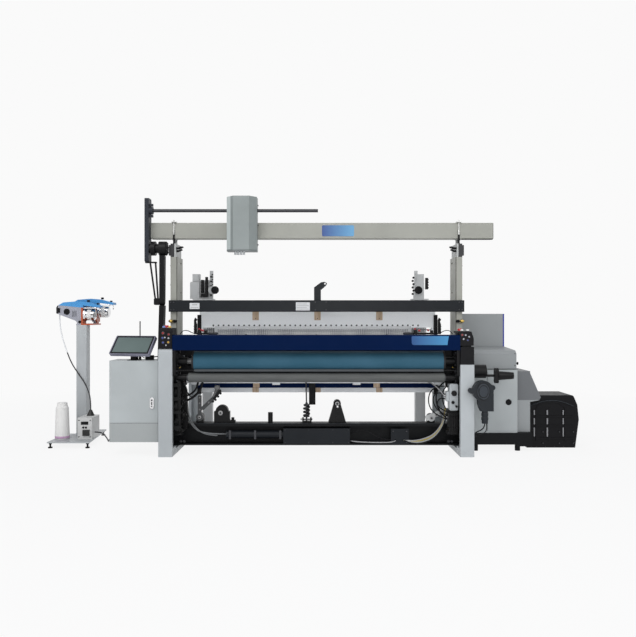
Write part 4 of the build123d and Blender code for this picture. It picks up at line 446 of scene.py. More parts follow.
def lathe(build, profile, origin, axis, steps=28, turn=0.0):
    """Turns (radius, distance) pairs about an axis through origin; ends at radius 0 close."""
    axis = Vector(axis).normalized()
    side = axis.orthogonal().normalized()
    other = axis.cross(side)
    rings = []
    for radius, reach in profile:
        centre = Vector(origin) + axis * reach
        if radius == 0:
            rings.append([build.verts.new(centre)])
            continue
        ring = []
        for i in range(steps):
            angle = turn + 2 * math.pi * i / steps
            spot = centre + side * radius * math.cos(angle) + other * radius * math.sin(angle)
            ring.append(build.verts.new(spot))
        rings.append(ring)
    for low, high in zip(rings, rings[1:]):
        if len(low) == 1 and len(high) == 1:
            continue
        for i in range(steps):
            j = (i + 1) % steps
            if len(low) == 1:
                build.faces.new((low[0], high[j], high[i]))
            elif len(high) == 1:
                build.faces.new((low[i], low[j], high[0]))
            else:
                build.faces.new((low[i], low[j], high[j], high[i]))
    for ring in (rings[0], rings[-1]):
        if len(ring) > 1:
            build.faces.new(ring)


def rod(build, origin, axis, radius, reach, steps=24, rim=0.0015):
    """A round bar with a small chamfer at both ends."""
    rim = min(rim, radius * 0.4, reach * 0.3)
    lathe(build, [(radius - rim, 0), (radius, rim), (radius, reach - rim), (radius - rim, reach)],
        origin, axis, steps)


def nut(build, origin, axis, radius, height):
    """A hexagon nut or head on its washer."""
    lathe(build, [(radius * 1.25, 0), (radius * 1.25, height * 0.15)], origin, axis, 24)
    start = Vector(origin) + Vector(axis).normalized() * height * 0.15
    lathe(build, [(radius, 0), (radius, height * 0.7), (radius * 0.86, height * 0.85)], start, axis, 6)


def screw(build, origin, axis, radius):
    """A socket cap head with its hexagon recess."""
    lathe(build, [(radius, 0), (radius, radius * 0.8), (radius * 0.86, radius)], origin, axis, 20)
    start = Vector(origin) + Vector(axis).normalized() * radius
    lathe(build, [(radius * 0.5, 0.0002), (radius * 0.42, -radius * 0.25), (0, -radius * 0.25)],
        start, axis, 6)


def skin(build, rings, closed=True):
    """Walls between rings of points of one count, and a face over both ends."""
    for low, high in zip(rings, rings[1:]):
        for i in range(len(low)):
            j = (i + 1) % len(low)
            build.faces.new((low[i], low[j], high[j], high[i]))
    if closed:
        build.faces.new(rings[0])
        build.faces.new(rings[-1])


def grid(shape, build, xs, y, zs, *sizes):
    """The same nut or screw on a front face at every crossing of xs and zs."""
    for x in xs:
        for z in zs:
            shape(build, (x, y, z), FRONT, *sizes)


def plate(build, outline, face, near, far, rim=0.001):
    """A flat outline given depth between near and far: face "y" takes (x, z), "x" (y, z), "z" (x, y)."""
    order = {
        "y": lambda u, v, w: (u, w, v),
        "x": lambda u, v, w: (w, u, v),
        "z": lambda u, v, w: (u, v, w),
    }[face]
    middle = [sum(p[k] for p in outline) / len(outline) for k in (0, 1)]
    reach = max(math.hypot(u - middle[0], v - middle[1]) for u, v in outline)
    step = math.copysign(min(rim, abs(far - near) * 0.3), far - near)
    shrink = 1.0 - abs(step) / reach
    loops = []
    for depth, scale in ((near, shrink), (near + step, 1.0), (far - step, 1.0), (far, shrink)):
        spots = [[middle[k] + (p[k] - middle[k]) * scale for k in (0, 1)] for p in outline]
        loops.append([build.verts.new(order(u, v, depth)) for u, v in spots])
    skin(build, loops)


def panel(build, x0, x1, z0, z1, radius, near, far, rim=0.001):
    """A plate with rounded corners, facing the front."""
    plate(build, round_outline(x0, x1, z0, z1, radius), "y", near, far, rim)


def block(build, low, high, rim=0.0015):
    """A bar between two corners with broken edges."""
    outline = [(low[0], low[2]), (high[0], low[2]), (high[0], high[2]), (low[0], high[2])]
    plate(build, outline, "y", low[1], high[1], rim)


def round_outline(x0, x1, z0, z1, radius, steps=5):
    """A rectangle's outline with rounded corners."""
    points = []
    for cx, cz, start in (
        (x1 - radius, z1 - radius, 0), (x0 + radius, z1 - radius, 90),
        (x0 + radius, z0 + radius, 180), (x1 - radius, z0 + radius, 270),
    ):
        for i in range(steps + 1):
            angle = math.radians(start + 90 * i / steps)
            points.append((cx + radius * math.cos(angle), cz + radius * math.sin(angle)))
    return points


drawn = []


def piece(name, material, slot=None, body="frame", smooth=32):
    """A new mesh to draw in; the end of the script makes it an object on its body."""
    build = bmesh.new()
    drawn.append((name, build, material, slot or usual_slots[material], body, smooth))
    return build


def pipe(name, points, radius, material=black_plastic):
    """A hose, wire or bent rod that clips hold along its way."""
    made = curve(name, points, radius, material, 10, 3, True)
    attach(made, "frame")


bolts = piece("beam_bolts", steel, "steel")
sleeves = piece("beam_bolt_sleeves", black_plastic)
bolt_line = 1.333
for x in (-bolt_line, bolt_line):
    for y, outward in ((-0.2872, -1), (-0.1728, 1)):
        lathe(bolts, [(0.0053, 0), (0.0053, 0.232), (0.004, 0.235)], (x, y, 1.893), UP, 16)
        nut(bolts, (x, y, 2.1105), UP, 0.0095, 0.009)
        lathe(sleeves, [(0.0078, 0), (0.0078, 0.086), (0.006, 0.088)],
            (x, y + outward * 0.0015, 1.9055), UP, 16)
        lathe(bolts, [(0.0088, 0), (0.0088, 0.04), (0.0078, 0.042)], (x, y + outward * 0.0018, 1.99), UP, 6)
    plate(bolts, round_outline(x - 0.021, x + 0.021, -0.304, -0.156, 0.006), "z", 2.1024, 2.1105)
caps = piece("beam_end_plug", black_plastic)
plate(caps, round_outline(-0.2796, -0.1804, 1.9514, 2.1016, 0.009), "x", 1.6532, 1.6575)
plate(caps, round_outline(1.36, 1.652, -0.2795, -0.262, 0.002), "z", 1.9508, 1.9445)
badge_blue = moulded("badge_blue", (0.05, 0.17, 0.42), 0.35, 0.3, gloss=0.2)
badge_run = badge_blue.ramp(badge_blue.axis("X"), 0.06, 0.34)
badge_blue.set("Base Color", badge_blue.mix(badge_run, (0.022, 0.065, 0.24), (0.1, 0.3, 0.52)))
badge = piece("beam_badge_plate", badge_blue, "grey_plastic")
panel(badge, 0.0525, 0.3527, 1.975, 2.078, 0.012, -0.2802, -0.2822)

# Posts and beam brackets: the dark strip down each post, painted shade for a shading line, clamp
# levers on the bracket, and the brass screw with its black grip at the guard bar's foot.
# The dark strips on the post fronts are painted shade: a shading line along the post's edge, not a joint.
shading_line_paint = painted("shading_line_paint", (0.1, 0.1, 0.088), 0.5)
strips = piece("post_shading_strips", shading_line_paint, "post_paint")
levers = piece("bracket_levers", black_plastic)
grips = piece("post_grips", black_plastic)
brasses = piece("post_brass_screws", brass, "steel")
for side in (-1, 1):
    plate(strips, [(side * 1.299, 0.962), (side * 1.3075, 0.962), (side * 1.3075, 1.78),
        (side * 1.299, 1.78)], "y", -0.3001, -0.3018, 0.0005)
    inner = side * 1.3118
    for y, z in ((-0.285, 1.862), (-0.262, 1.838), (-0.215, 1.868)):
        rod(levers, (inner, y, z), (-side, 0, 0), 0.01, 0.026, 16)
        plate(levers, [(inner - side * 0.018, z - 0.008), (inner - side * 0.018, z + 0.008),
            (inner - side * 0.05, z + 0.02), (inner - side * 0.056, z + 0.006)], "y", y - 0.006, y + 0.006)
    for z in (1.3, 1.52, 1.7):
        screw(grips, (side * 1.3622, -0.272, z), (side, 0, 0), 0.0065)
    lathe(brasses, [(0.003, 0), (0.009, 0.004), (0.0165, 0.018), (0.0165, 0.03), (0.008, 0.044),
        (0.006, 0.048)], (side * 1.378, -0.316, 1.18), (-side, 0, 0), 24)
    lathe(grips, [(0.006, 0.0), (0.013, 0.002), (0.015, 0.01), (0.013, 0.026), (0.006, 0.034)],
        (side * 1.332, -0.316, 1.18), (-side, 0, 0), 12)
    rod(grips, (side * 1.3385, -0.3305, 1.18), (0, 1, 0), 0.006, 0.031, 12)

# Guard bar: end screws, the hanger's screws, and two bare plates
guard_front = -0.3402
plate_front = guard_front - 0.0012
field_front = guard_front - 0.0016
bar_screws = piece("guard_bar_screws", shaft_steel)
grid(screw, bar_screws, (-1.352, -1.325, 1.325, 1.352), guard_front, (1.287, 1.355), 0.0055)
grid(screw, bar_screws, (-0.01, 0.09), guard_front, (1.285, 1.357), 0.006)
label_white = moulded("label_white", (0.62, 0.63, 0.64), 0.5)
plates = piece("guard_bar_plates", label_white, "grey_plastic")
panel(plates, -1.1756, -1.0845, 1.293, 1.349, 0.004, guard_front, plate_front, 0.0004)
panel(plates, -0.1904, -0.0603, 1.2794, 1.3556, 0.004, guard_front, plate_front, 0.0004)
rows = piece("guard_plate_fields", grey_plastic, "grey_plastic")
for i in range(4):
    panel(rows, -0.182, -0.069 - 0.02 * (i % 2), 1.29 + 0.016 * i, 1.2945 + 0.016 * i, 0.002, plate_front,
        field_front, 0.0002)
panel(rows, -1.168, -1.092, 1.305, 1.311, 0.003, plate_front, field_front, 0.0002)
panel(rows, -1.155, -1.105, 1.328, 1.338, 0.004, plate_front, field_front, 0.0002)

# Shed: wooden pads, rows of rivets and rows of healds on the heald frames, and the hooked heads of
# their end guides
wood = Material("beech_wood", (0.52, 0.38, 0.26), 0.62)
wood_rings = wood.noise(70.0, 4.0, (1, 1, 0.12))
wood.set("Base Color", wood.mix(wood.ramp(wood_rings, 0.35, 0.65), (0.42, 0.3, 0.2), (0.6, 0.46, 0.33)))
wood.bump(wood_rings, 0.25, 0.0005)
heddle_steel = metal("heald_steel", (0.15, 0.15, 0.16), 0.4, (1, 1, 0.05), 400.0, metallic=0.2)
heald_side = ((0.0011, 0.559), (0.0011, 0.8), (0.0026, 0.812), (0.0026, 0.826), (0.0011, 0.838),
    (0.0011, 1.117))
heald_outline = [*heald_side, *((-u, v) for u, v in reversed(heald_side))]
for body, first in (("heald_odd", 0), ("heald_even", 1)):
    if first == 0:
        pads = piece("heald_pads_" + body, wood, "grey_plastic", body)
    rivets = piece("heald_rivets_" + body, black_plastic, "dark_steel", body)
    healds = piece("healds_" + body, heddle_steel, "steel", body, 60)
    for frame_number in (first, first + 2):
        front = -0.15 + 0.02 * frame_number
        if frame_number == 0:
            for x in (-0.58, 0.01, 0.6):
                for low, high in ((1.189, 1.2895), (0.501, 0.6)):
                    panel(pads, x - 0.0305, x + 0.0305, low, high, 0.004, front - 0.0077,
                        front - 0.0125, 0.0008)
                for z in (1.205, 1.272):
                    lathe(rivets, [(0.004, 0), (0.004, 0.001), (0, 0.0022)],
                        (x, front - 0.0125, z), FRONT, 10)
        if frame_number < 2:
            for i in range(41):
                x = -0.985 + 0.0489 * i
                head = [(0.0082, 0), (0.0074, 0.0016), (0.004, 0.0016), (0, 0.0006)]
                lathe(rivets, head, (x, front, 1.139), FRONT, 14)
                if i % 2 == 0:
                    lathe(rivets, [(0.0032, 0), (0, 0.0018)], (x, front, 1.128), FRONT, 8)
        middle = front + 0.006
        for side, edge in ((-1, -1.1155), (1, 1.1355)):
            for z in (0.7, 0.9, 1.1):
                screw(rivets, (edge, middle, z), (side, 0, 0), 0.004)
        for i in range(118):
            x = -1.045 + 0.0179 * i
            if (x + 0.58) % 0.59 < 0.012:
                continue
            healds.faces.new([healds.verts.new((x + u, middle, v)) for u, v in heald_outline])
        for z in (0.585, 1.092):
            block(healds, (-1.083, middle - 0.0012, z), (1.103, middle + 0.0012, z + 0.009), 0.0004)
guide_hooks = piece("guide_hooks", black_plastic)
for side, x in ((-1, -1.147), (1, 1.167)):
    plate(guide_hooks, [(x - 0.014, 1.056), (x + 0.014, 1.056), (x + 0.014, 1.15), (x + 0.005, 1.176),
        (x + 0.016, 1.196), (x - 0.004, 1.214), (x - 0.014, 1.19)], "y", -0.182, -0.204, 0.002)
    for z in (1.075, 1.1, 1.125):
        block(guide_hooks, (x - 0.016, -0.206, z), (x + 0.016, -0.203, z + 0.009), 0.0008)

# Cloth line: a temple with red spring caps and a ribbed roller stands at each end, and a thin cable
# joins it to the post
temple_bodies = piece("temple_bodies", black_casting)
temple_caps = piece("temple_caps", moulded("temple_red", (0.35, 0.012, 0.02), 0.4, 0.3), "red_plastic")
temple_rollers = piece("temple_rollers", shaft_steel)
for side in (-1, 1):
    x0, x1 = (-1.075, -0.972) if side < 0 else (0.868, 1.06)
    block(temple_bodies, (x0, -0.56, 1.062), (x1, -0.5, 1.078), 0.003)
    block(temple_bodies, (x0 + 0.008, -0.548, 1.078), (x0 + 0.04, -0.512, 1.104), 0.004)
    block(temple_bodies, (x1 - 0.036, -0.545, 1.078), (x1 - 0.01, -0.515, 1.098), 0.004)
    rod(temple_caps, (x0 + 0.046, -0.545, 1.096), RIGHT, 0.0095, 0.022, 20)
    rod(temple_caps, (x1 - 0.052, -0.552, 1.092), (-0.6, 0, 0.8), 0.008, 0.02, 20)
    rod(temple_caps, (x0 + 0.02, -0.53, 1.104), UP, 0.008, 0.014, 20)
    inner = x1 if side < 0 else x0
    reach = [(0.0, 0.0), (0.01, 0.001)]
    for i in range(9):
        reach += [(0.0125, 0.004 + 0.009 * i), (0.0105, 0.0095 + 0.009 * i)]
    lathe(temple_rollers, reach + [(0.0, 0.09)], (inner, -0.53, 1.07), (-side, 0, 0), 20)
    for sway in (0.0, 0.024):
        rod(temple_rollers, (x0 + 0.01 + sway, -0.5, 1.07), (0, 0.2, -1), 0.006, 0.06, 12)
for side, hand in ((-1, "left"), (1, "right")):
    pipe("post_cable_" + hand, [(side * x, y, z) for x, y, z in (
        (1.245, -0.43, 1.061), (1.236, -0.43, 1.082), (1.205, -0.432, 1.098),
        (1.165, -0.44, 1.092), (1.128, -0.462, 1.072), (1.092, -0.51, 1.07),
    )], 0.0035)

# Breast beam cover: a plain sticker at its right end, and screws along its top
sticker_film = Material("sticker_film", (0.04, 0.16, 0.36), 0.4, coat=0.1, gloss=0.2)
sticker_run = sticker_film.ramp(sticker_film.axis("X"), 0.83, 1.15)
sticker_film.set("Base Color", sticker_film.mix(sticker_run, (0.01, 0.06, 0.2), (0.055, 0.24, 0.46)))
sticker = piece("cover_sticker", sticker_film, "grey_plastic")
plate(sticker, [
    (0.828, 1.049), (0.836, 1.052), (1.151, 1.052), (1.139, 0.975),
    (1.131, 0.9745), (0.846, 0.9745), (0.836, 0.978), (0.829, 0.99),
], "y", -0.7502, -0.7508, 0.0002)
cover_screws = piece("cover_screws", shaft_steel)
for x in (-1.235, -0.62, 0.0, 0.62, 1.235):
    for y in (-0.7, -0.64):
        screw(cover_screws, (x, y, 1.0612), UP, 0.0055)

# Roller ends: journal collars on the take-up roller and the press roller
collars = piece("take_up_collars", lever_steel, "steel", "take_up")
press_collars = piece("press_collars", shaft_steel, "dark_steel", "press")
for side, face, far in ((-1, -1.0965, -1.226), (1, 1.1365, 1.226)):
    length = abs(far - face) - 0.004
    lathe(collars, [(0.0223, 0.0), (0.0262, 0.001), (0.0262, 0.03), (0.024, 0.033), (0.024, length - 0.02),
        (0.0223, length - 0.018)], (face, -0.6, 0.825), (side, 0, 0), 32)
    screw(collars, (face + side * 0.016, -0.6262, 0.825), FRONT, 0.004)
for side, face in ((-1, -1.1285), (1, 1.1305)):
    lathe(press_collars, [(0.03, 0.0), (0.03, 0.01), (0.0245, 0.012), (0.0245, 0.034)], (face, -0.64, 0.683),
        (side, 0, 0), 28)

# Between the rollers: a folded stripper sheet behind them, and a grey tube under the cover that
# draws the darker grey band along the take-up roller's lower edge
stripper = piece("stripper_sheet", black_plastic, "dark_paint")
plate(stripper, [(-0.508, 0.69), (-0.506, 0.69), (-0.506, 0.775), (-0.49, 0.8), (-0.4915, 0.802),
    (-0.508, 0.776)], "x", -1.225, 1.225, 0.0005)
panel(stripper, -1.225, 1.225, 0.872, 0.948, 0.004, -0.52, -0.517, 0.0005)
# The grey tube and its end rods draw the darker grey band along the take-up roller's lower edge.
edge_band = piece("edge_band_tube", grey_rubber, "grey_plastic")
lathe(edge_band, [(0.0125, 0.0), (0.0125, 2.19)], (-1.072, -0.672, 0.748), RIGHT, 24)
edge_band_ends = piece("edge_band_ends", black_casting)
rod(edge_band_ends, (-1.228, -0.672, 0.748), RIGHT, 0.006, 0.158, 16)
rod(edge_band_ends, (1.228, -0.672, 0.748), (-1, 0, 0), 0.006, 0.112, 16)

# Roller brackets: the bolts of the bearing caps, and brass grease nipples
bracket_face = 1.2278
bearing_caps = piece("bearing_bolts", shaft_steel)
nipples = piece("grease_nipples", brass, "steel")
for side in (-1, 1):
    for y, z, radius in ((-0.6, 0.825, 0.062), (-0.64, 0.683, 0.05)):
        for k in range(6):
            angle = math.radians(60 * k + 30)
            nut(bearing_caps, (side * bracket_face, y + radius * math.cos(angle),
                z + radius * math.sin(angle)), (-side, 0, 0), 0.0065, 0.007)
    for z in (0.745, 0.905, 0.985):
        nut(bearing_caps, (side * bracket_face, -0.69, z), (-side, 0, 0), 0.008, 0.009)
    lathe(nipples, [(0.004, 0), (0.004, 0.008), (0.0025, 0.011), (0.003, 0.016), (0, 0.018)],
        (side * bracket_face, -0.56, 0.765), (-side, 0, 0.3), 12)

# Left leg, inner side: the open gear train of the take-up drive on its shafts, with a slotted stay
def gear(build, centre, radius, width, teeth, bore=0.01):
    """A spur wheel on an X shaft: a toothed rim and a stepped hub."""
    x, y, z = centre
    rims = []
    for face in (x, x + width):
        ring = []
        for i in range(teeth * 4):
            reach = radius if i % 4 in (0, 1) else radius - 0.007
            angle = 2 * math.pi * (i + (0.25 if i % 4 == 1 else 0)) / (teeth * 4)
            ring.append(build.verts.new((face, y + reach * math.cos(angle), z + reach * math.sin(angle))))
        rims.append(ring)
    skin(build, rims)
    lathe(build, [(radius * 0.45, 0), (radius * 0.4, 0.008), (radius * 0.4, 0.014), (bore, 0.015),
        (bore, 0.026), (0, 0.026)], (x + width, y, z), RIGHT, 24)


leg_face = -1.2529
wheels = piece("left_gear_train", black_casting)
stays = piece("left_gear_stay", black_casting)
pins = piece("left_gear_pins", shaft_steel)
for y, z, radius, width, teeth, x in (
    (-0.64, 0.548, 0.056, 0.026, 30, -1.246),
    (-0.56, 0.47, 0.052, 0.022, 28, -1.214),
    (-0.655, 0.428, 0.06, 0.024, 32, -1.24),
    (-0.57, 0.345, 0.055, 0.024, 30, -1.212),
    (-0.65, 0.295, 0.048, 0.028, 26, -1.236),
    (-0.6, 0.215, 0.045, 0.026, 24, -1.222),
):
    gear(wheels, (x, y, z), radius, width, teeth)
    rod(pins, (leg_face, y, z), RIGHT, 0.012, x - leg_face, 16)
for z in (0.62, 0.5, 0.385, 0.25):
    block(stays, (leg_face, -0.7, z - 0.016), (-1.186, -0.686, z + 0.016), 0.003)
    nut(stays, (-1.205, -0.7, z), FRONT, 0.01, 0.009)
panel(stays, -1.216, -1.192, 0.215, 0.655, 0.01, -0.686, -0.68, 0.0015)
plate(stays, [(-1.312, 0.15), (-1.2528, 0.15), (-1.165, 0.215), (-1.158, 0.33), (-1.17, 0.56), (-1.2, 0.64),
    (-1.2528, 0.68), (-1.312, 0.7)], "y", -0.52, -0.47, 0.004)
plate(stays, [(1.225, 0.15), (1.312, 0.15), (1.312, 0.925), (1.168, 0.925), (1.168, 0.6), (1.205, 0.56),
    (1.225, 0.5)], "y", -0.505, -0.472, 0.004)
conduit = metal("woven_conduit", (0.115, 0.12, 0.125), 0.4, (1, 1, 1), 600.0, metallic=0.4)
pipe("left_conduit", [(-1.205, -0.5, 0.6), (-1.19, -0.485, 0.5), (-1.18, -0.474, 0.38), (-1.15, -0.47, 0.26),
    (-1.08, -0.472, 0.18), (-0.96, -0.472, 0.158), (-0.86, -0.47, 0.156), (-0.826, -0.43, 0.15)], 0.0075,
    conduit)
pipe("right_hose_1", [(1.25, -0.51, 0.69), (1.19, -0.52, 0.66), (1.11, -0.52, 0.6), (1.075, -0.505, 0.5),
    (1.1, -0.5, 0.38), (1.19, -0.5, 0.29), (1.25, -0.495, 0.26)], 0.0065)
pipe("right_hose_2", [(1.25, -0.51, 0.64), (1.17, -0.515, 0.6), (1.13, -0.505, 0.52), (1.15, -0.5, 0.42),
    (1.215, -0.5, 0.33), (1.25, -0.495, 0.31)], 0.0055)
pipe("left_hose_1", [(-1.019, -0.52, 0.665), (-1.03, -0.52, 0.61), (-1.048, -0.52, 0.56),
    (-1.095, -0.52, 0.505), (-1.155, -0.52, 0.468), (-1.215, -0.52, 0.46), (-1.25, -0.52, 0.464)], 0.0105)
pipe("left_hose_2", [(-1.062, -0.515, 0.665), (-1.07, -0.515, 0.61), (-1.09, -0.515, 0.56),
    (-1.135, -0.515, 0.52), (-1.19, -0.515, 0.502), (-1.25, -0.515, 0.5)], 0.009)
pipe("left_hose_3", [(-1.215, -0.535, 0.665), (-1.185, -0.535, 0.59), (-1.15, -0.53, 0.52),
    (-1.12, -0.525, 0.49)], 0.005)
pipe("left_hose_4", [(-1.196, -0.495, 0.6), (-1.184, -0.48, 0.5), (-1.174, -0.476, 0.385),
    (-1.136, -0.474, 0.262), (-1.062, -0.474, 0.178), (-0.98, -0.474, 0.146), (-0.9, -0.47, 0.142)], 0.006,
    conduit)

# Front cross beam: bearing insert and bolts of the pillow block, bolt heads, and cables along its face
insert_paint = metal("insert_steel", (0.3, 0.3, 0.3), 0.4, (1, 1, 1), metallic=0.2)
inner = None
for x, z, reach in (
    (-0.88, 0.338, 0.0092), (0.191, 0.425, 0.0102), (-1.068, 0.303, 0.008), (1.051, 0.296, 0.008),
):
    aside = insert_paint.axis("X") - x
    aloft = insert_paint.axis("Z") - z
    near = (aside * aside + aloft * aloft).maths("SQRT") < reach
    inner = near if inner is None else inner + near
shade = insert_paint.base()
insert_paint.set("Base Color", insert_paint.mix(inner, shade, (0.004, 0.004, 0.004)))
inserts = piece("bearing_inserts", insert_paint, "chrome_trim")
lathe(inserts, [(0.021, 0), (0.021, 0.004), (0.016, 0.006), (0.009, 0.006), (0.009, 0.002), (0.0, 0.002)],
    (-0.88, -0.4102, 0.338), FRONT, 36)
lathe(inserts, [(0.019, 0), (0.019, 0.004), (0.01, 0.005), (0.01, 0.002), (0.0, 0.002)],
    (0.191, -0.4242, 0.425), FRONT, 28)
for x, z in ((-1.068, 0.303), (1.051, 0.296)):
    lathe(inserts, [(0.0145, 0), (0.0145, 0.003), (0.008, 0.005), (0, 0.005)], (x, -0.4402, z), FRONT, 24)
beam_bolts = piece("front_beam_bolts", shaft_steel)
for x in (-0.935, -0.801):
    nut(beam_bolts, (x, -0.395, 0.2683), UP, 0.009, 0.011)
grid(screw, beam_bolts, (0.7, 0.822), -0.4582, (0.178, 0.078), 0.006)
grid(nut, beam_bolts, (-1.235, -1.205, 1.205, 1.235), -0.4502, (0.085, 0.215), 0.01, 0.01)
grid(screw, beam_bolts, (-0.285, -0.07, 0.15, 0.29), -0.4662, (0.076, 0.192), 0.0045)
for x in (0.158, 0.224):
    nut(beam_bolts, (x, -0.398, 0.2502), UP, 0.007, 0.009)
for x in (-0.79, -0.56, -0.33):
    panel(beam_bolts, x - 0.01, x + 0.01, 0.1, 0.184, 0.008, -0.4345, -0.4375, 0.001)
strips = piece("front_beam_lips", dark_paint, "dark_paint")
for z in (0.0535, 0.2465):
    block(strips, (-1.19, -0.4525, z - 0.0035), (1.19, -0.45, z + 0.0035), 0.0008)
silver_cable = metal("silver_cable", (0.28, 0.28, 0.29), 0.4, (1, 1, 1), 500.0, metallic=0.4)
pipe("beam_silver_cable", [(0.306, -0.43, 0.086), (0.34, -0.456, 0.084), (0.45, -0.46, 0.078),
    (0.58, -0.46, 0.076), (0.69, -0.46, 0.077), (0.722, -0.452, 0.09)], 0.0055, silver_cable)
pipe("beam_black_cable", [(0.306, -0.425, 0.15), (0.38, -0.452, 0.186), (0.47, -0.456, 0.18),
    (0.56, -0.456, 0.12), (0.65, -0.456, 0.098), (0.72, -0.452, 0.1)], 0.004)
white_hose = moulded("white_hose", (0.3, 0.31, 0.3), 0.4)
yellow_hose = moulded("yellow_hose", (0.42, 0.32, 0.05), 0.4)
for name, shift, radius, jacket in (
    ("bundle_white", 0.0, 0.007, white_hose), ("bundle_yellow", 0.013, 0.0045, yellow_hose),
    ("bundle_grey", 0.024, 0.006, silver_cable), ("bundle_black", -0.013, 0.0055, black_plastic),
):
    pipe(name, [(0.796, -0.456 + shift / 3, 0.096), (0.87, -0.464, 0.078 + shift / 2),
        (0.96, -0.472, 0.082 + shift), (1.055, -0.474, 0.118 + shift),
        (1.125, -0.474 + shift / 2, 0.19 + shift), (1.165, -0.48 + shift, 0.28 + shift),
        (1.18 - shift, -0.5, 0.395)], radius, jacket)

# Spring unit: a rod hung from the sley shaft by an eye, its three-coil spring in the stand's clevis,
# and the hanging plate; behind it the harness bar with two wooden rub pads
spring_x, spring_y = -0.0905, -0.38
spring_steel = metal("spring_steel", (0.016, 0.016, 0.019), 0.45, (1, 1, 1), 300.0, metallic=0.4)
coil_points = []
for i in range(3 * 12 + 7):
    angle = 2 * math.pi * i / 12
    reach = 0.024 if 3 < i < 39 else 0.018
    coil_points.append((spring_x + reach * math.cos(angle), spring_y + reach * math.sin(angle),
        0.307 + 0.0029 * max(0, i - 4) * 0.9))
pipe("return_spring", coil_points, 0.0105, spring_steel)
unit = piece("spring_unit", shaft_steel)
lathe(unit, [(0.0352, 0.0), (0.046, 0.0015), (0.046, 0.0125), (0.0352, 0.014)],
    (-0.102, -0.35, 0.64), RIGHT, 36)
sling = Vector((0.0045, -0.03, -0.188))
rod(unit, (-0.095, -0.35, 0.596), sling, 0.0065, sling.length, 16)
rod(unit, (spring_x, spring_y, 0.262), UP, 0.008, 0.15, 16)
lathe(unit, [(0.026, 0), (0.028, 0.002), (0.028, 0.01), (0.012, 0.012)], (spring_x, spring_y, 0.405), UP, 24)
lathe(unit, [(0.026, 0), (0.028, 0.002), (0.028, 0.008), (0.012, 0.01)], (spring_x, spring_y, 0.298), UP, 24)
nut(unit, (spring_x, spring_y, 0.418), UP, 0.012, 0.012)
rod(unit, (-0.134, spring_y, 0.276), RIGHT, 0.0065, 0.088, 16)
for x in (-0.1375, -0.044):
    nut(unit, (x, spring_y, 0.276), (-1 if x < -0.1 else 1, 0, 0), 0.01, 0.007)
hanging = piece("spring_plate", black_plastic)
panel(hanging, -0.0706, -0.0088, 0.387, 0.5925, 0.004, -0.195, -0.187, 0.001)
low_bar = piece("harness_bar", navy_paint, "navy_paint")
block(low_bar, (-1.128, -0.178, 0.546), (1.128, -0.1665, 0.592), 0.002)
for x in (-0.93, -0.31, 0.31, 0.93):
    nut(low_bar, (x, -0.178, 0.567), FRONT, 0.007, 0.006)
rubs = piece("bar_rub_pads", wood, "grey_plastic")
for x in (-0.571, 0.573):
    panel(rubs, x - 0.03, x + 0.03, 0.548, 0.59, 0.004, -0.178, -0.1815, 0.0008)

# Harness levers: pressed ribs, bolts, the knuckle and the dark cylinder of the left one, and bolts of
# the right one
lever_face = -0.4283
lever_bolts = piece("left_lever_bolts", lever_steel, "steel", "left_lever")
lever_ribs = piece("left_lever_ribs", lever_paint, "dark_steel", "left_lever")
for z in (0.372, 0.43, 0.482):
    nut(lever_bolts, (-1.068, lever_face, z), FRONT, 0.0085, 0.008)
for x, z in ((-0.985, 0.436), (-0.905, 0.56), (-0.905, 0.583)):
    nut(lever_bolts, (x, lever_face, z), FRONT, 0.008, 0.008)
plate(lever_ribs, [(-1.08, 0.345), (-1.056, 0.345), (-1.056, 0.495), (-1.08, 0.495)], "y", lever_face,
    -0.4345, 0.0015)
plate(lever_ribs, [(-1.044, 0.376), (-1.032, 0.366), (-0.944, 0.448), (-0.956, 0.46)], "y", lever_face,
    -0.4335, 0.0015)
plate(lever_ribs, [(-0.935, 0.486), (-0.922, 0.48), (-0.895, 0.545), (-0.91, 0.552)], "y", lever_face,
    -0.4335, 0.0015)
panel(lever_ribs, -0.932, -0.88, 0.556, 0.59, 0.01, lever_face, -0.436, 0.002)
knuckle = piece("left_lever_knuckle", lever_steel, "steel", "left_lever")
panel(knuckle, -0.928, -0.884, 0.56, 0.588, 0.008, -0.436, -0.44, 0.0015)
rod(knuckle, (-0.94, -0.4385, 0.492), (0.38, 0, 0.925), 0.006, 0.075, 14)
cylinder = piece("left_lever_cylinder", black_casting, body="left_lever")
plate(cylinder, [(-0.95, 0.47), (-0.93, 0.462), (-0.868, 0.536), (-0.872, 0.556), (-0.89, 0.556)], "y",
    lever_face, -0.435, 0.003)
for x, z in ((-0.958, 0.446), (-0.936, 0.462), (-0.912, 0.492), (-0.89, 0.52)):
    rod(cylinder, (x + 0.014, lever_face, z), FRONT, 0.0105, 0.012, 14)
right_bolts = piece("right_lever_bolts", lever_steel, "steel", "right_lever")
for x, z in ((1.1, 0.319), (1.135, 0.336), (1.168, 0.35)):
    nut(right_bolts, (x, lever_face, z), FRONT, 0.0085, 0.008)

# Right leg, inner side: the grey valve casting with its black bosses, the solenoid block below it,
# and the air hoses that loop between them
valve_face = -0.655
valve = piece("valve_casting", frame_paint, "frame_paint")
panel(valve, 1.176, 1.2528, 0.392, 0.628, 0.014, -0.56, valve_face, 0.004)
panel(valve, 1.15, 1.182, 0.47, 0.56, 0.01, -0.575, -0.64, 0.003)
for z in (0.412, 0.61):
    screw(valve, (1.193, valve_face - 0.0002, z), FRONT, 0.006)
bosses = piece("solenoid_block", black_casting)
lathe(bosses, [(0.024, 0), (0.024, 0.012), (0.018, 0.016), (0.018, 0.022), (0, 0.022)],
    (1.215, valve_face, 0.545), FRONT, 28)
lathe(bosses, [(0.014, 0), (0.014, 0.012), (0, 0.014)], (1.205, valve_face, 0.465), FRONT, 24)
lathe(bosses, [(0.01, 0), (0.01, 0.024), (0, 0.026)], (1.235, valve_face, 0.43), FRONT, 20)
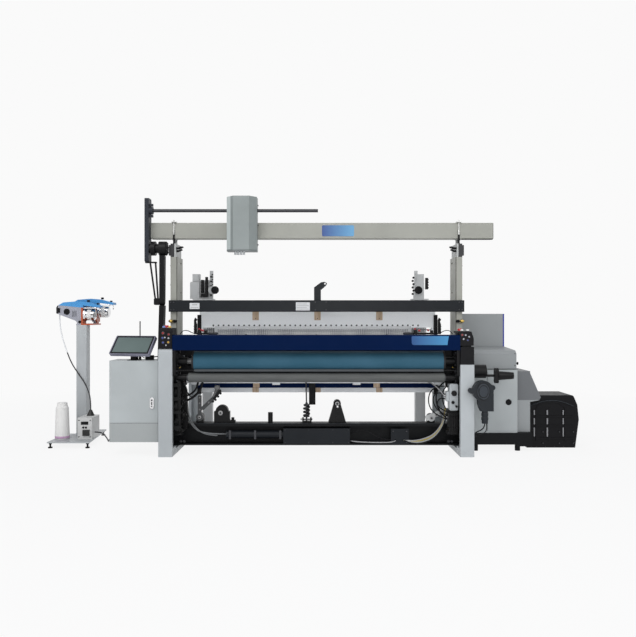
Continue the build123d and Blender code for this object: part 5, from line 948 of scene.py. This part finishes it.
for i in range(4):
    x = 1.17 + 0.021 * i
    panel(bosses, x, x + 0.018, 0.205, 0.372, 0.004, -0.56, -0.648, 0.002)
    rod(bosses, (x + 0.009, -0.648, 0.335), FRONT, 0.006, 0.016, 14)
    rod(bosses, (x + 0.009, -0.648, 0.24), FRONT, 0.005, 0.012, 14)
block(bosses, (1.16, -0.64, 0.18), (1.2528, -0.54, 0.205), 0.003)
block(bosses, (1.16, -0.63, 0.372), (1.2528, -0.545, 0.39), 0.003)
for number, points in enumerate((
    [(1.176, -0.6, 0.6), (1.11, -0.56, 0.605), (1.03, -0.52, 0.56), (1.01, -0.5, 0.47), (1.03, -0.49, 0.39),
        (1.09, -0.5, 0.33), (1.172, -0.56, 0.3)],
    [(1.15, -0.6, 0.53), (1.09, -0.56, 0.55), (1.05, -0.52, 0.5), (1.06, -0.5, 0.43), (1.11, -0.51, 0.36),
        (1.172, -0.58, 0.34)],
    [(1.176, -0.59, 0.48), (1.12, -0.55, 0.5), (1.085, -0.52, 0.45), (1.1, -0.52, 0.4), (1.172, -0.6, 0.37)],
    [(1.15, -0.62, 0.5), (1.06, -0.6, 0.62), (0.975, -0.56, 0.64), (0.93, -0.52, 0.655)],
)):
    pipe("air_hose_%d" % (number + 1), points, 0.0052 if number < 3 else 0.0042,
        black_plastic if number < 3 else silver_cable)

# Button heads: rims round the buttons, and rows of pilot lights in bezels on the upright faces
rims = piece("button_rims", shaft_steel)
lights = {}
for color, tone in (
    ("red", (0.22, 0.006, 0.008)), ("blue", (0.03, 0.05, 0.24)),
    ("white", (0.42, 0.43, 0.46)), ("yellow", (0.42, 0.24, 0.02)),
):
    lens = moulded("lens_" + color, tone, 0.22, 0.5)
    lights[color] = piece("pilot_lights_" + color, lens, color + "_plastic")
for hand in ("left", "right"):
    head_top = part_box(hand + "_button_box")[1].z
    for button in ("_stop", "_start", "_jog"):
        low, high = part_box(hand + button + "_button")
        middle = (low + high) / 2
        bore = (high.x - low.x) / 2 - 0.0035
        ring = [(bore, 0.0), (bore + 0.007, 0.0), (bore + 0.0065, 0.0024), (bore, 0.0024)]
        lathe(rims, ring, (middle.x, middle.y, head_top + 0.0001), UP, 28)
for hand, setback, spots in (
    ("left", 0.0, (
        ("red", -1.334, 1.078, 0.0125), ("red", -1.284, 1.066, 0.0105), ("blue", -1.338, 1.036, 0.0105),
        ("white", -1.318, 1.04, 0.0075), ("white", -1.286, 1.034, 0.0085), ("blue", -1.334, 0.996, 0.0105),
        ("yellow", -1.288, 0.998, 0.0115), ("white", -1.308, 0.972, 0.007),
    )),
    ("right", 0.014, (
        ("red", 1.27, 1.062, 0.0105), ("white", 1.3, 1.06, 0.008), ("white", 1.33, 1.046, 0.008),
        ("white", 1.282, 1.026, 0.008), ("blue", 1.318, 1.016, 0.007),
    )),
):
    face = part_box(hand + "_button_box")[0].y + setback
    for color, x, z, radius in spots:
        bezel = [(radius + 0.003, 0), (radius + 0.0026, 0.003), (radius + 0.0004, 0.003)]
        lens = [(radius * 0.85, 0), (radius * 0.85, 0.006), (radius * 0.7, 0.0085), (0, 0.0098)]
        lathe(rims, bezel, (x, face, z), FRONT, 24)
        lathe(lights[color], lens, (x, face, z), FRONT, 24)

# Harness units: a finned cover, rows of coils and bosses, and a round disc on each side
unit_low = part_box("harness_units")[0]
units = piece("unit_fins", unit_paint, "frame_paint")
coils = piece("unit_coils", black_casting)
discs = piece("unit_discs", black_plastic)
front = unit_low.y + 0.034
for k in range(5):
    block(units, (-1.326 + 0.0205 * k, front - 0.006, 1.42), (-1.315 + 0.0205 * k, front, 1.578), 0.001)
panel(units, -1.3, -1.236, 1.598, 1.664, 0.006, front + 0.004, front - 0.004, 0.0015)
for x, z in ((-1.318, 1.585), (-1.238, 1.585), (-1.292, 1.658), (-1.244, 1.605)):
    screw(units, (x, front - 0.001, z), FRONT, 0.005)
for x, z0, z1 in ((-1.196, 1.47, 1.61), (-1.152, 1.455, 1.64)):
    rod(coils, (x, front - 0.012, z0), UP, 0.0155, z1 - z0, 20)
    for k in range(4):
        lathe(coils, [(0.0155, 0), (0.0185, 0.002), (0.0185, 0.01), (0.0155, 0.012)],
            (x, front - 0.012, z0 + 0.012 + k * 0.034), UP, 20)
block(coils, (-1.212, front - 0.03, 1.43), (-1.136, front - 0.002, 1.462), 0.003)
for k in range(5):
    rod(coils, (-1.106, front - 0.006, 1.45 + 0.048 * k), FRONT, 0.01, 0.016, 14)
    rod(coils, (-1.088, unit_low.y - 0.001, 1.56 + 0.026 * k), FRONT, 0.008, 0.01, 14)
for k in range(6):
    rod(coils, (1.006 + 0.008 * (k % 2), unit_low.y + 0.02, 1.462 + 0.034 * k), FRONT, 0.0115, 0.022, 14)
block(coils, (1.146, unit_low.y + 0.03, 1.512), (1.172, unit_low.y + 0.085, 1.632), 0.003)
for k in range(4):
    block(coils, (1.172, unit_low.y + 0.036, 1.522 + 0.028 * k),
        (1.178, unit_low.y + 0.078, 1.536 + 0.028 * k), 0.001)
for x in (-1.061, 1.065):
    lathe(discs, [(0.041, 0), (0.041, 0.006), (0.034, 0.009), (0.034, 0.012), (0.016, 0.014), (0.016, 0.01),
        (0, 0.01)], (x, unit_low.y - 0.0002, 1.502), FRONT, 36)

# Side cabinet: door panels with seams and a round lock, a side knob, screws, and the blue edge of the
# guard panel
panel_face = -0.4728
side_seams = piece("cabinet_seams", rubber, "foot_rubber")
side_panel = piece("cabinet_panels", side_paint, "cabinet_paint")
locks = piece("cabinet_lock", black_plastic)
panel(side_panel, 1.56, 1.818, 0.186, 0.728, 0.006, -0.4702, panel_face, 0.001)
panel(side_panel, 1.436, 1.546, 0.186, 0.728, 0.006, -0.4702, panel_face, 0.001)
for x0, z0, x1, z1 in ((1.5515, 0.18, 1.5545, 0.735), (1.421, 0.7405, 1.831, 0.7435)):
    block(side_seams, (x0, -0.4716, z0), (x1, -0.47, z1), 0.0004)
block(side_seams, (1.421, -0.4316, 0.742), (1.831, -0.43, 0.745), 0.0004)
lathe(locks, [(0.027, 0), (0.027, 0.003), (0.023, 0.006), (0.01, 0.006), (0.01, 0.004), (0, 0.004)],
    (1.747, panel_face, 0.4446), FRONT, 36)
panel(locks, 1.7445, 1.7495, 0.431, 0.458, 0.002, -0.4768, -0.481, 0.0006)
rod(locks, (1.8312, -0.38, 0.791), RIGHT, 0.006, 0.016, 16)
lathe(locks, [(0.006, 0), (0.013, 0.002), (0.014, 0.01), (0.01, 0.014), (0, 0.015)],
    (1.8472, -0.38, 0.791), RIGHT, 24)
grid(screw, locks, (1.436, 1.816), -0.4302, (0.774, 0.884), 0.004)
edge = piece("guard_blue_edge", painted("edge_blue", (0.012, 0.025, 0.26), 0.4), "navy_paint")
block(edge, (1.8195, -0.0068, 0.7455), (1.8318, -0.005, 1.2505), 0.0005)

# Motor cover: pale strips between the ribs, which are painted highlights, an arched bar and screws;
# beside it the two leads of the take-up gear case
# The pale strips beside the ribs are painted highlights, drawn as thin grey plates.
rib_highlight_grey = moulded("rib_highlight_grey", (0.22, 0.22, 0.23), 0.4)
motor_face = -0.3172
motor_rib_highlights = piece("motor_rib_highlights", rib_highlight_grey, "grey_plastic")
for x, width in ((2.029, 0.011), (2.15, 0.013), (2.298, 0.01)):
    for z0, z1 in ((0.106, 0.19), (0.22, 0.277), (0.307, 0.352)):
        panel(motor_rib_highlights, x - width / 2, x + width / 2, z0, z1, 0.003, motor_face, -0.3196, 0.0008)
pipe("motor_arch", [(1.99, motor_face, 0.392), (2.07, motor_face, 0.428), (2.19, motor_face, 0.446),
    (2.31, motor_face, 0.428), (2.395, motor_face, 0.388)], 0.0055, gear_paint)
motor_screws = piece("motor_screws", shaft_steel)
grid(screw, motor_screws, (1.985, 2.11, 2.262, 2.392), motor_face, (0.045, 0.15), 0.006)
pipe("gear_case_lead", [(1.456, -0.785, 0.3), (1.45, -0.785, 0.262), (1.42, -0.78, 0.238),
    (1.392, -0.77, 0.224), (1.38, -0.74, 0.206), (1.3735, -0.72, 0.2)], 0.005)
pipe("gear_case_lead_2", [(1.47, -0.785, 0.3), (1.476, -0.785, 0.25), (1.452, -0.78, 0.212),
    (1.41, -0.775, 0.202), (1.3735, -0.74, 0.18)], 0.0035)

# Control cabinet: the seam of the lower panel, the key holes of the latch, and a socket on the roof
# with the leads to it
seam = piece("door_seam", rubber, "foot_rubber", "door")
block(seam, (-1.808, -0.6906, 0.2865), (-1.3885, -0.69, 0.289), 0.0002)
key = piece("latch_key", shaft_steel, "dark_steel", "latch")
latch_low, latch_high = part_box("door_latch")
middle = (latch_low + latch_high) / 2
lathe(key, [(0.0075, 0), (0.0075, 0.0016), (0.005, 0.002), (0, 0.002)],
    (middle.x, latch_low.y, middle.z + 0.026), FRONT, 24)
lathe(key, [(0.0055, 0), (0.0055, 0.0016), (0, 0.002)], (middle.x, latch_low.y, middle.z - 0.028), FRONT, 24)
panel(key, middle.x - 0.0045, middle.x + 0.0045, middle.z - 0.016, middle.z + 0.012, 0.004, latch_low.y,
    latch_low.y - 0.0012, 0.0004)
ears = piece("cabinet_top_socket", black_plastic)
plate(ears, round_outline(-1.53, -1.462, -0.575, -0.515, 0.006), "z", 0.8352, 0.875, 0.002)
for k in range(3):
    block(ears, (-1.524 + 0.022 * k, -0.5768, 0.842), (-1.51 + 0.022 * k, -0.575, 0.868), 0.0008)
pipe("cabinet_top_lead", [(-1.462, -0.545, 0.858), (-1.43, -0.545, 0.868), (-1.405, -0.54, 0.85),
    (-1.392, -0.535, 0.842), (-1.3745, -0.53, 0.846)], 0.005)
pipe("screen_lead", [(-1.585, -0.585, 0.895), (-1.56, -0.57, 0.868), (-1.545, -0.56, 0.852),
    (-1.53, -0.55, 0.85)], 0.0035)

# Touch screen: the recess holds a greenish glass, and a black mask frames it inside the grey rim.
# The corners come from the node's own faces, so that both pieces sit exactly on them.
screen_mesh = nodes["touch_screen"].data
facing = max(screen_mesh.polygons, key=lambda p: p.area * (p.normal.y < -0.3)).normal.copy()
levels = {}
for polygon in screen_mesh.polygons:
    if polygon.normal.dot(facing) > 0.999:
        levels.setdefault(round(polygon.center.dot(facing), 4), []).append(polygon)
front_level, recess_level = max(levels), sorted(levels)[-2]
across = Vector(UP).cross(facing).normalized()
upward = facing.cross(across).normalized()


def corners(level):
    """The four extreme corners of the faces at one level, anticlockwise from the lower left."""
    spots = [screen_mesh.vertices[i].co for p in levels[level] for i in p.vertices]
    return [
        max(spots, key=lambda v: v.dot(across) * a + v.dot(upward) * b).copy()
        for a, b in ((-1, -1), (1, -1), (1, 1), (-1, 1))
    ]


outer, inner = corners(front_level), corners(recess_level)
middle = sum(inner, Vector()) / 4
glass = Material("screen_glass", (0.09, 0.125, 0.12), 0.12, coat=0.3, coat_roughness=0.05, gloss=0.3)
glass_cloud = glass.ramp(glass.noise(2.5, 1.0), 0.3, 0.7)
glass.set("Base Color", glass.mix(glass_cloud, (0.07, 0.105, 0.1), (0.105, 0.148, 0.142)))
pane = piece("screen_glass", glass, "screen_plastic", "screen")
skin(pane, [
    [pane.verts.new(middle + (c - middle) * scale + facing * lift) for c in inner]
    for lift, scale in ((0.0004, 0.998), (0.0018, 0.995))
])
mask = piece("screen_mask", black_plastic, "screen_plastic", "screen")
mask_lift = 0.0012
outer_middle = sum(outer, Vector()) / 4
rings = [
    [mask.verts.new(outer_middle + (c - outer_middle) * 0.965 + facing * lift) for c in outer]
    for lift in (0.0, mask_lift)
]
inner_edge = [middle + (c - middle) * 1.004 for c in inner]
rings.append([mask.verts.new(s + facing * (front_level - s.dot(facing) + mask_lift)) for s in inner_edge])
skin(mask, rings, False)
rim_paint = painted("screen_rim", (0.19, 0.19, 0.25), 0.4)
dress(rim_paint, "touch_screen")

# Take-up gear case: an oval cover let into the round front, drawn as two dark joints and a lighter oval
case_paint = painted("case_paint", (0.013, 0.016, 0.02), 0.45, coat=0.03, wear=(0.06, 0.06, 0.065), gloss=0.2)
aside = (case_paint.axis("X") - 1.437) / 0.04
aloft = (case_paint.axis("Z") - 0.577) / 0.052
reach = (aside * aside + aloft * aloft).maths("SQRT")
shade = case_paint.base()
joint = ((reach - 1.0).maths("ABSOLUTE") < 0.07) + ((reach - 1.42).maths("ABSOLUTE") < 0.05)
shade = case_paint.mix(reach < 1.3, shade, (0.03, 0.036, 0.044))
case_paint.set("Base Color", case_paint.mix(joint, shade, (0.001, 0.001, 0.001)))
dress(case_paint, "gear_housing")

# Yarn feeders: grey body, blue upper cowl and guide arm, orange collar, black rear; round caps and
# clamp at the side, eyelets under the arm; drums with dark slots and their windings of yarn
feeder_paint = moulded("feeder_body", (0.31, 0.315, 0.36), 0.42, 0.2)
in_first = feeder_paint.axis("Y") < 0.172
along = feeder_paint.axis("X") + in_first * 0.091
above = feeder_paint.axis("Z") + in_first * 0.03
shade = feeder_paint.base()
shade = feeder_paint.mix(along > -2.226, shade, (0.42, 0.075, 0.018))
shade = feeder_paint.mix(above > (along * -0.1 + 1.12), shade, (0.055, 0.28, 0.6))
shade = feeder_paint.mix(along < -2.452, shade, (0.01, 0.01, 0.012))
feeder_paint.set("Base Color", shade)
dress(feeder_paint, "yarn_feeders")
caps = piece("feeder_caps", black_plastic)
eyes = piece("feeder_eyelets", chrome, "chrome_trim")
vents = piece("feeder_vents", grey_rubber, "grey_plastic")
for number, (x, y, z) in enumerate(((-2.561, 0.097, 1.242), (-2.47, 0.247, 1.272)), start=1):
    nose = x + 0.262
    side = y - 0.0502
    lathe(caps, [(0.03, 0), (0.03, 0.004), (0.025, 0.007), (0.012, 0.007), (0.012, 0.005), (0, 0.005)],
        (x + 0.105, side, z + 0.03), FRONT, 32)
    lathe(caps, [(0.014, 0), (0.014, 0.005), (0.01, 0.007), (0, 0.007)],
        (nose - 0.03, side, z - 0.07), FRONT, 24)
    block(caps, (x + 0.012, side - 0.004, z + 0.02), (x + 0.04, side, z + 0.066), 0.002)
    for k in range(4):
        panel(vents, x + 0.158 + 0.012 * k, x + 0.1615 + 0.012 * k, z - 0.02, z + 0.04, 0.0015, side,
            side - 0.0016, 0.0004)
    lathe(caps, [(0.01, 0), (0.014, 0.003), (0.015, 0.016), (0.008, 0.02), (0, 0.021)],
        (nose + 0.04, y, z + 0.1265), UP, 20)
    lathe(caps, [(0.008, 0), (0.012, 0.003), (0.012, 0.012), (0, 0.014)], (nose + 0.13, y, z + 0.101), UP, 20)
    rod(eyes, (nose + 0.15, y, z + 0.0715), (0, 0, -1), 0.004, 0.03, 14)
    lathe(eyes, [(0.01, 0), (0.013, 0.003), (0.01, 0.006), (0.006, 0.006), (0.006, 0)],
        (nose + 0.147, y, z + 0.033), RIGHT, 20)
    rod(eyes, (nose + 0.004, y - 0.041, z + 0.066), RIGHT, 0.0045, 0.152, 14)
    lathe(eyes, [(0.0045, 0), (0.014, 0.002), (0.014, 0.008), (0.0045, 0.01)],
        (nose + 0.118, y - 0.041, z + 0.066), RIGHT, 20)
    slots = piece("drum_slots_%d" % number, black_plastic, body="drum_%d" % number)
    for k in range(10):
        angle = 2 * math.pi * k / 10
        middle = Vector((0, math.cos(angle), math.sin(angle)))
        across = Vector((0, -math.sin(angle), math.cos(angle))) * 0.005
        ring = []
        for r in (0.053, 0.0546):
            for where, turn in ((nose + 0.022, -1), (nose + 0.022, 1), (nose + 0.1, 1), (nose + 0.1, -1)):
                ring.append(slots.verts.new(Vector((where, y, z)) + middle * r + across * turn))
        skin(slots, (ring[:4], ring[4:]))
    turns = piece("drum_windings_%d" % number, wound, "yarn", "drum_%d" % number)
    outline = [(0.0535, 0.0)]
    for k in range(16):
        outline += [(0.0556, 0.0006 + 0.0026 * k), (0.0548, 0.0019 + 0.0026 * k)]
    outline += [(0.0535, 0.0026 * 16 + 0.0006)]
    lathe(turns, outline, (nose + 0.036, y, z), RIGHT, 40)

# Feeder stand: screws, two knobs and a plate on the front of the power box; what stands out of its
# front and its top is black
power_paint = painted("power_paint", (0.6, 0.6, 0.59), 0.5, zones=(("Z", ">", 0.2635, (0.01, 0.01, 0.01)),
    ("Y", "<", -0.1905, (0.01, 0.01, 0.01))))
dress(power_paint, "power_box")
power_face = -0.1902
clips = piece("power_box_screws", rubber, "black_plastic")
grid(screw, clips, (-2.255, -2.147), power_face, (0.082, 0.238), 0.005)
for x, z in ((-2.214, 0.17), (-2.188, 0.17)):
    lathe(clips, [(0.01, 0), (0.01, 0.004), (0.006, 0.006), (0, 0.006)], (x, power_face, z), FRONT, 20)
panel(clips, -2.236, -2.166, 0.196, 0.226, 0.004, power_face, -0.1925, 0.0006)

# Selvedge unit: painted light on the housing's left facet, which is paler, a dark lower collar and white
# pads, its side screws, and the bolts of the drive hub
housing_paint = painted("housing_paint", (0.235, 0.262, 0.258), 0.48, 1600.0, zones=(
    # The paler left facet (x below -0.785) is painted light: the facet turned towards the light.
    ("X", "<", -0.785, (0.46, 0.51, 0.5)),
    ("Z", "<", 1.838, (0.16, 0.18, 0.18)), ("Z", "<", 1.8238, (0.62, 0.64, 0.65)),
))
dress(housing_paint, "selvedge_housing")
sides = piece("housing_screws", shaft_steel, body="selvedge_carriage")
for x, axis in ((-0.8255, -1), (-0.5475, 1)):
    for z in (1.892, 2.075, 2.258):
        screw(sides, (x, -0.305, z), (axis, 0, 0), 0.007)
hub_bolts = piece("hub_bolts", shaft_steel)
for k in range(6):
    angle = math.radians(60 * k + 15)
    screw(hub_bolts, (-1.3862, -0.325 + 0.05 * math.cos(angle), 1.855 + 0.05 * math.sin(angle)), RIGHT, 0.006)

# All drawn meshes become objects, each riding on its body
for name, build, material, slot, body, smooth in drawn:
    bmesh.ops.recalc_face_normals(build, faces=build.faces)
    mesh = bpy.data.meshes.new(name)
    build.to_mesh(mesh)
    build.free()
    for face in mesh.polygons:
        face.use_smooth = True
    mesh.set_sharp_from_angle(angle=math.radians(smooth))
    mesh.materials.append(material.data)
    made = bpy.data.objects.new(name, mesh)
    bpy.context.scene.collection.objects.link(made)
    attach(made, body)
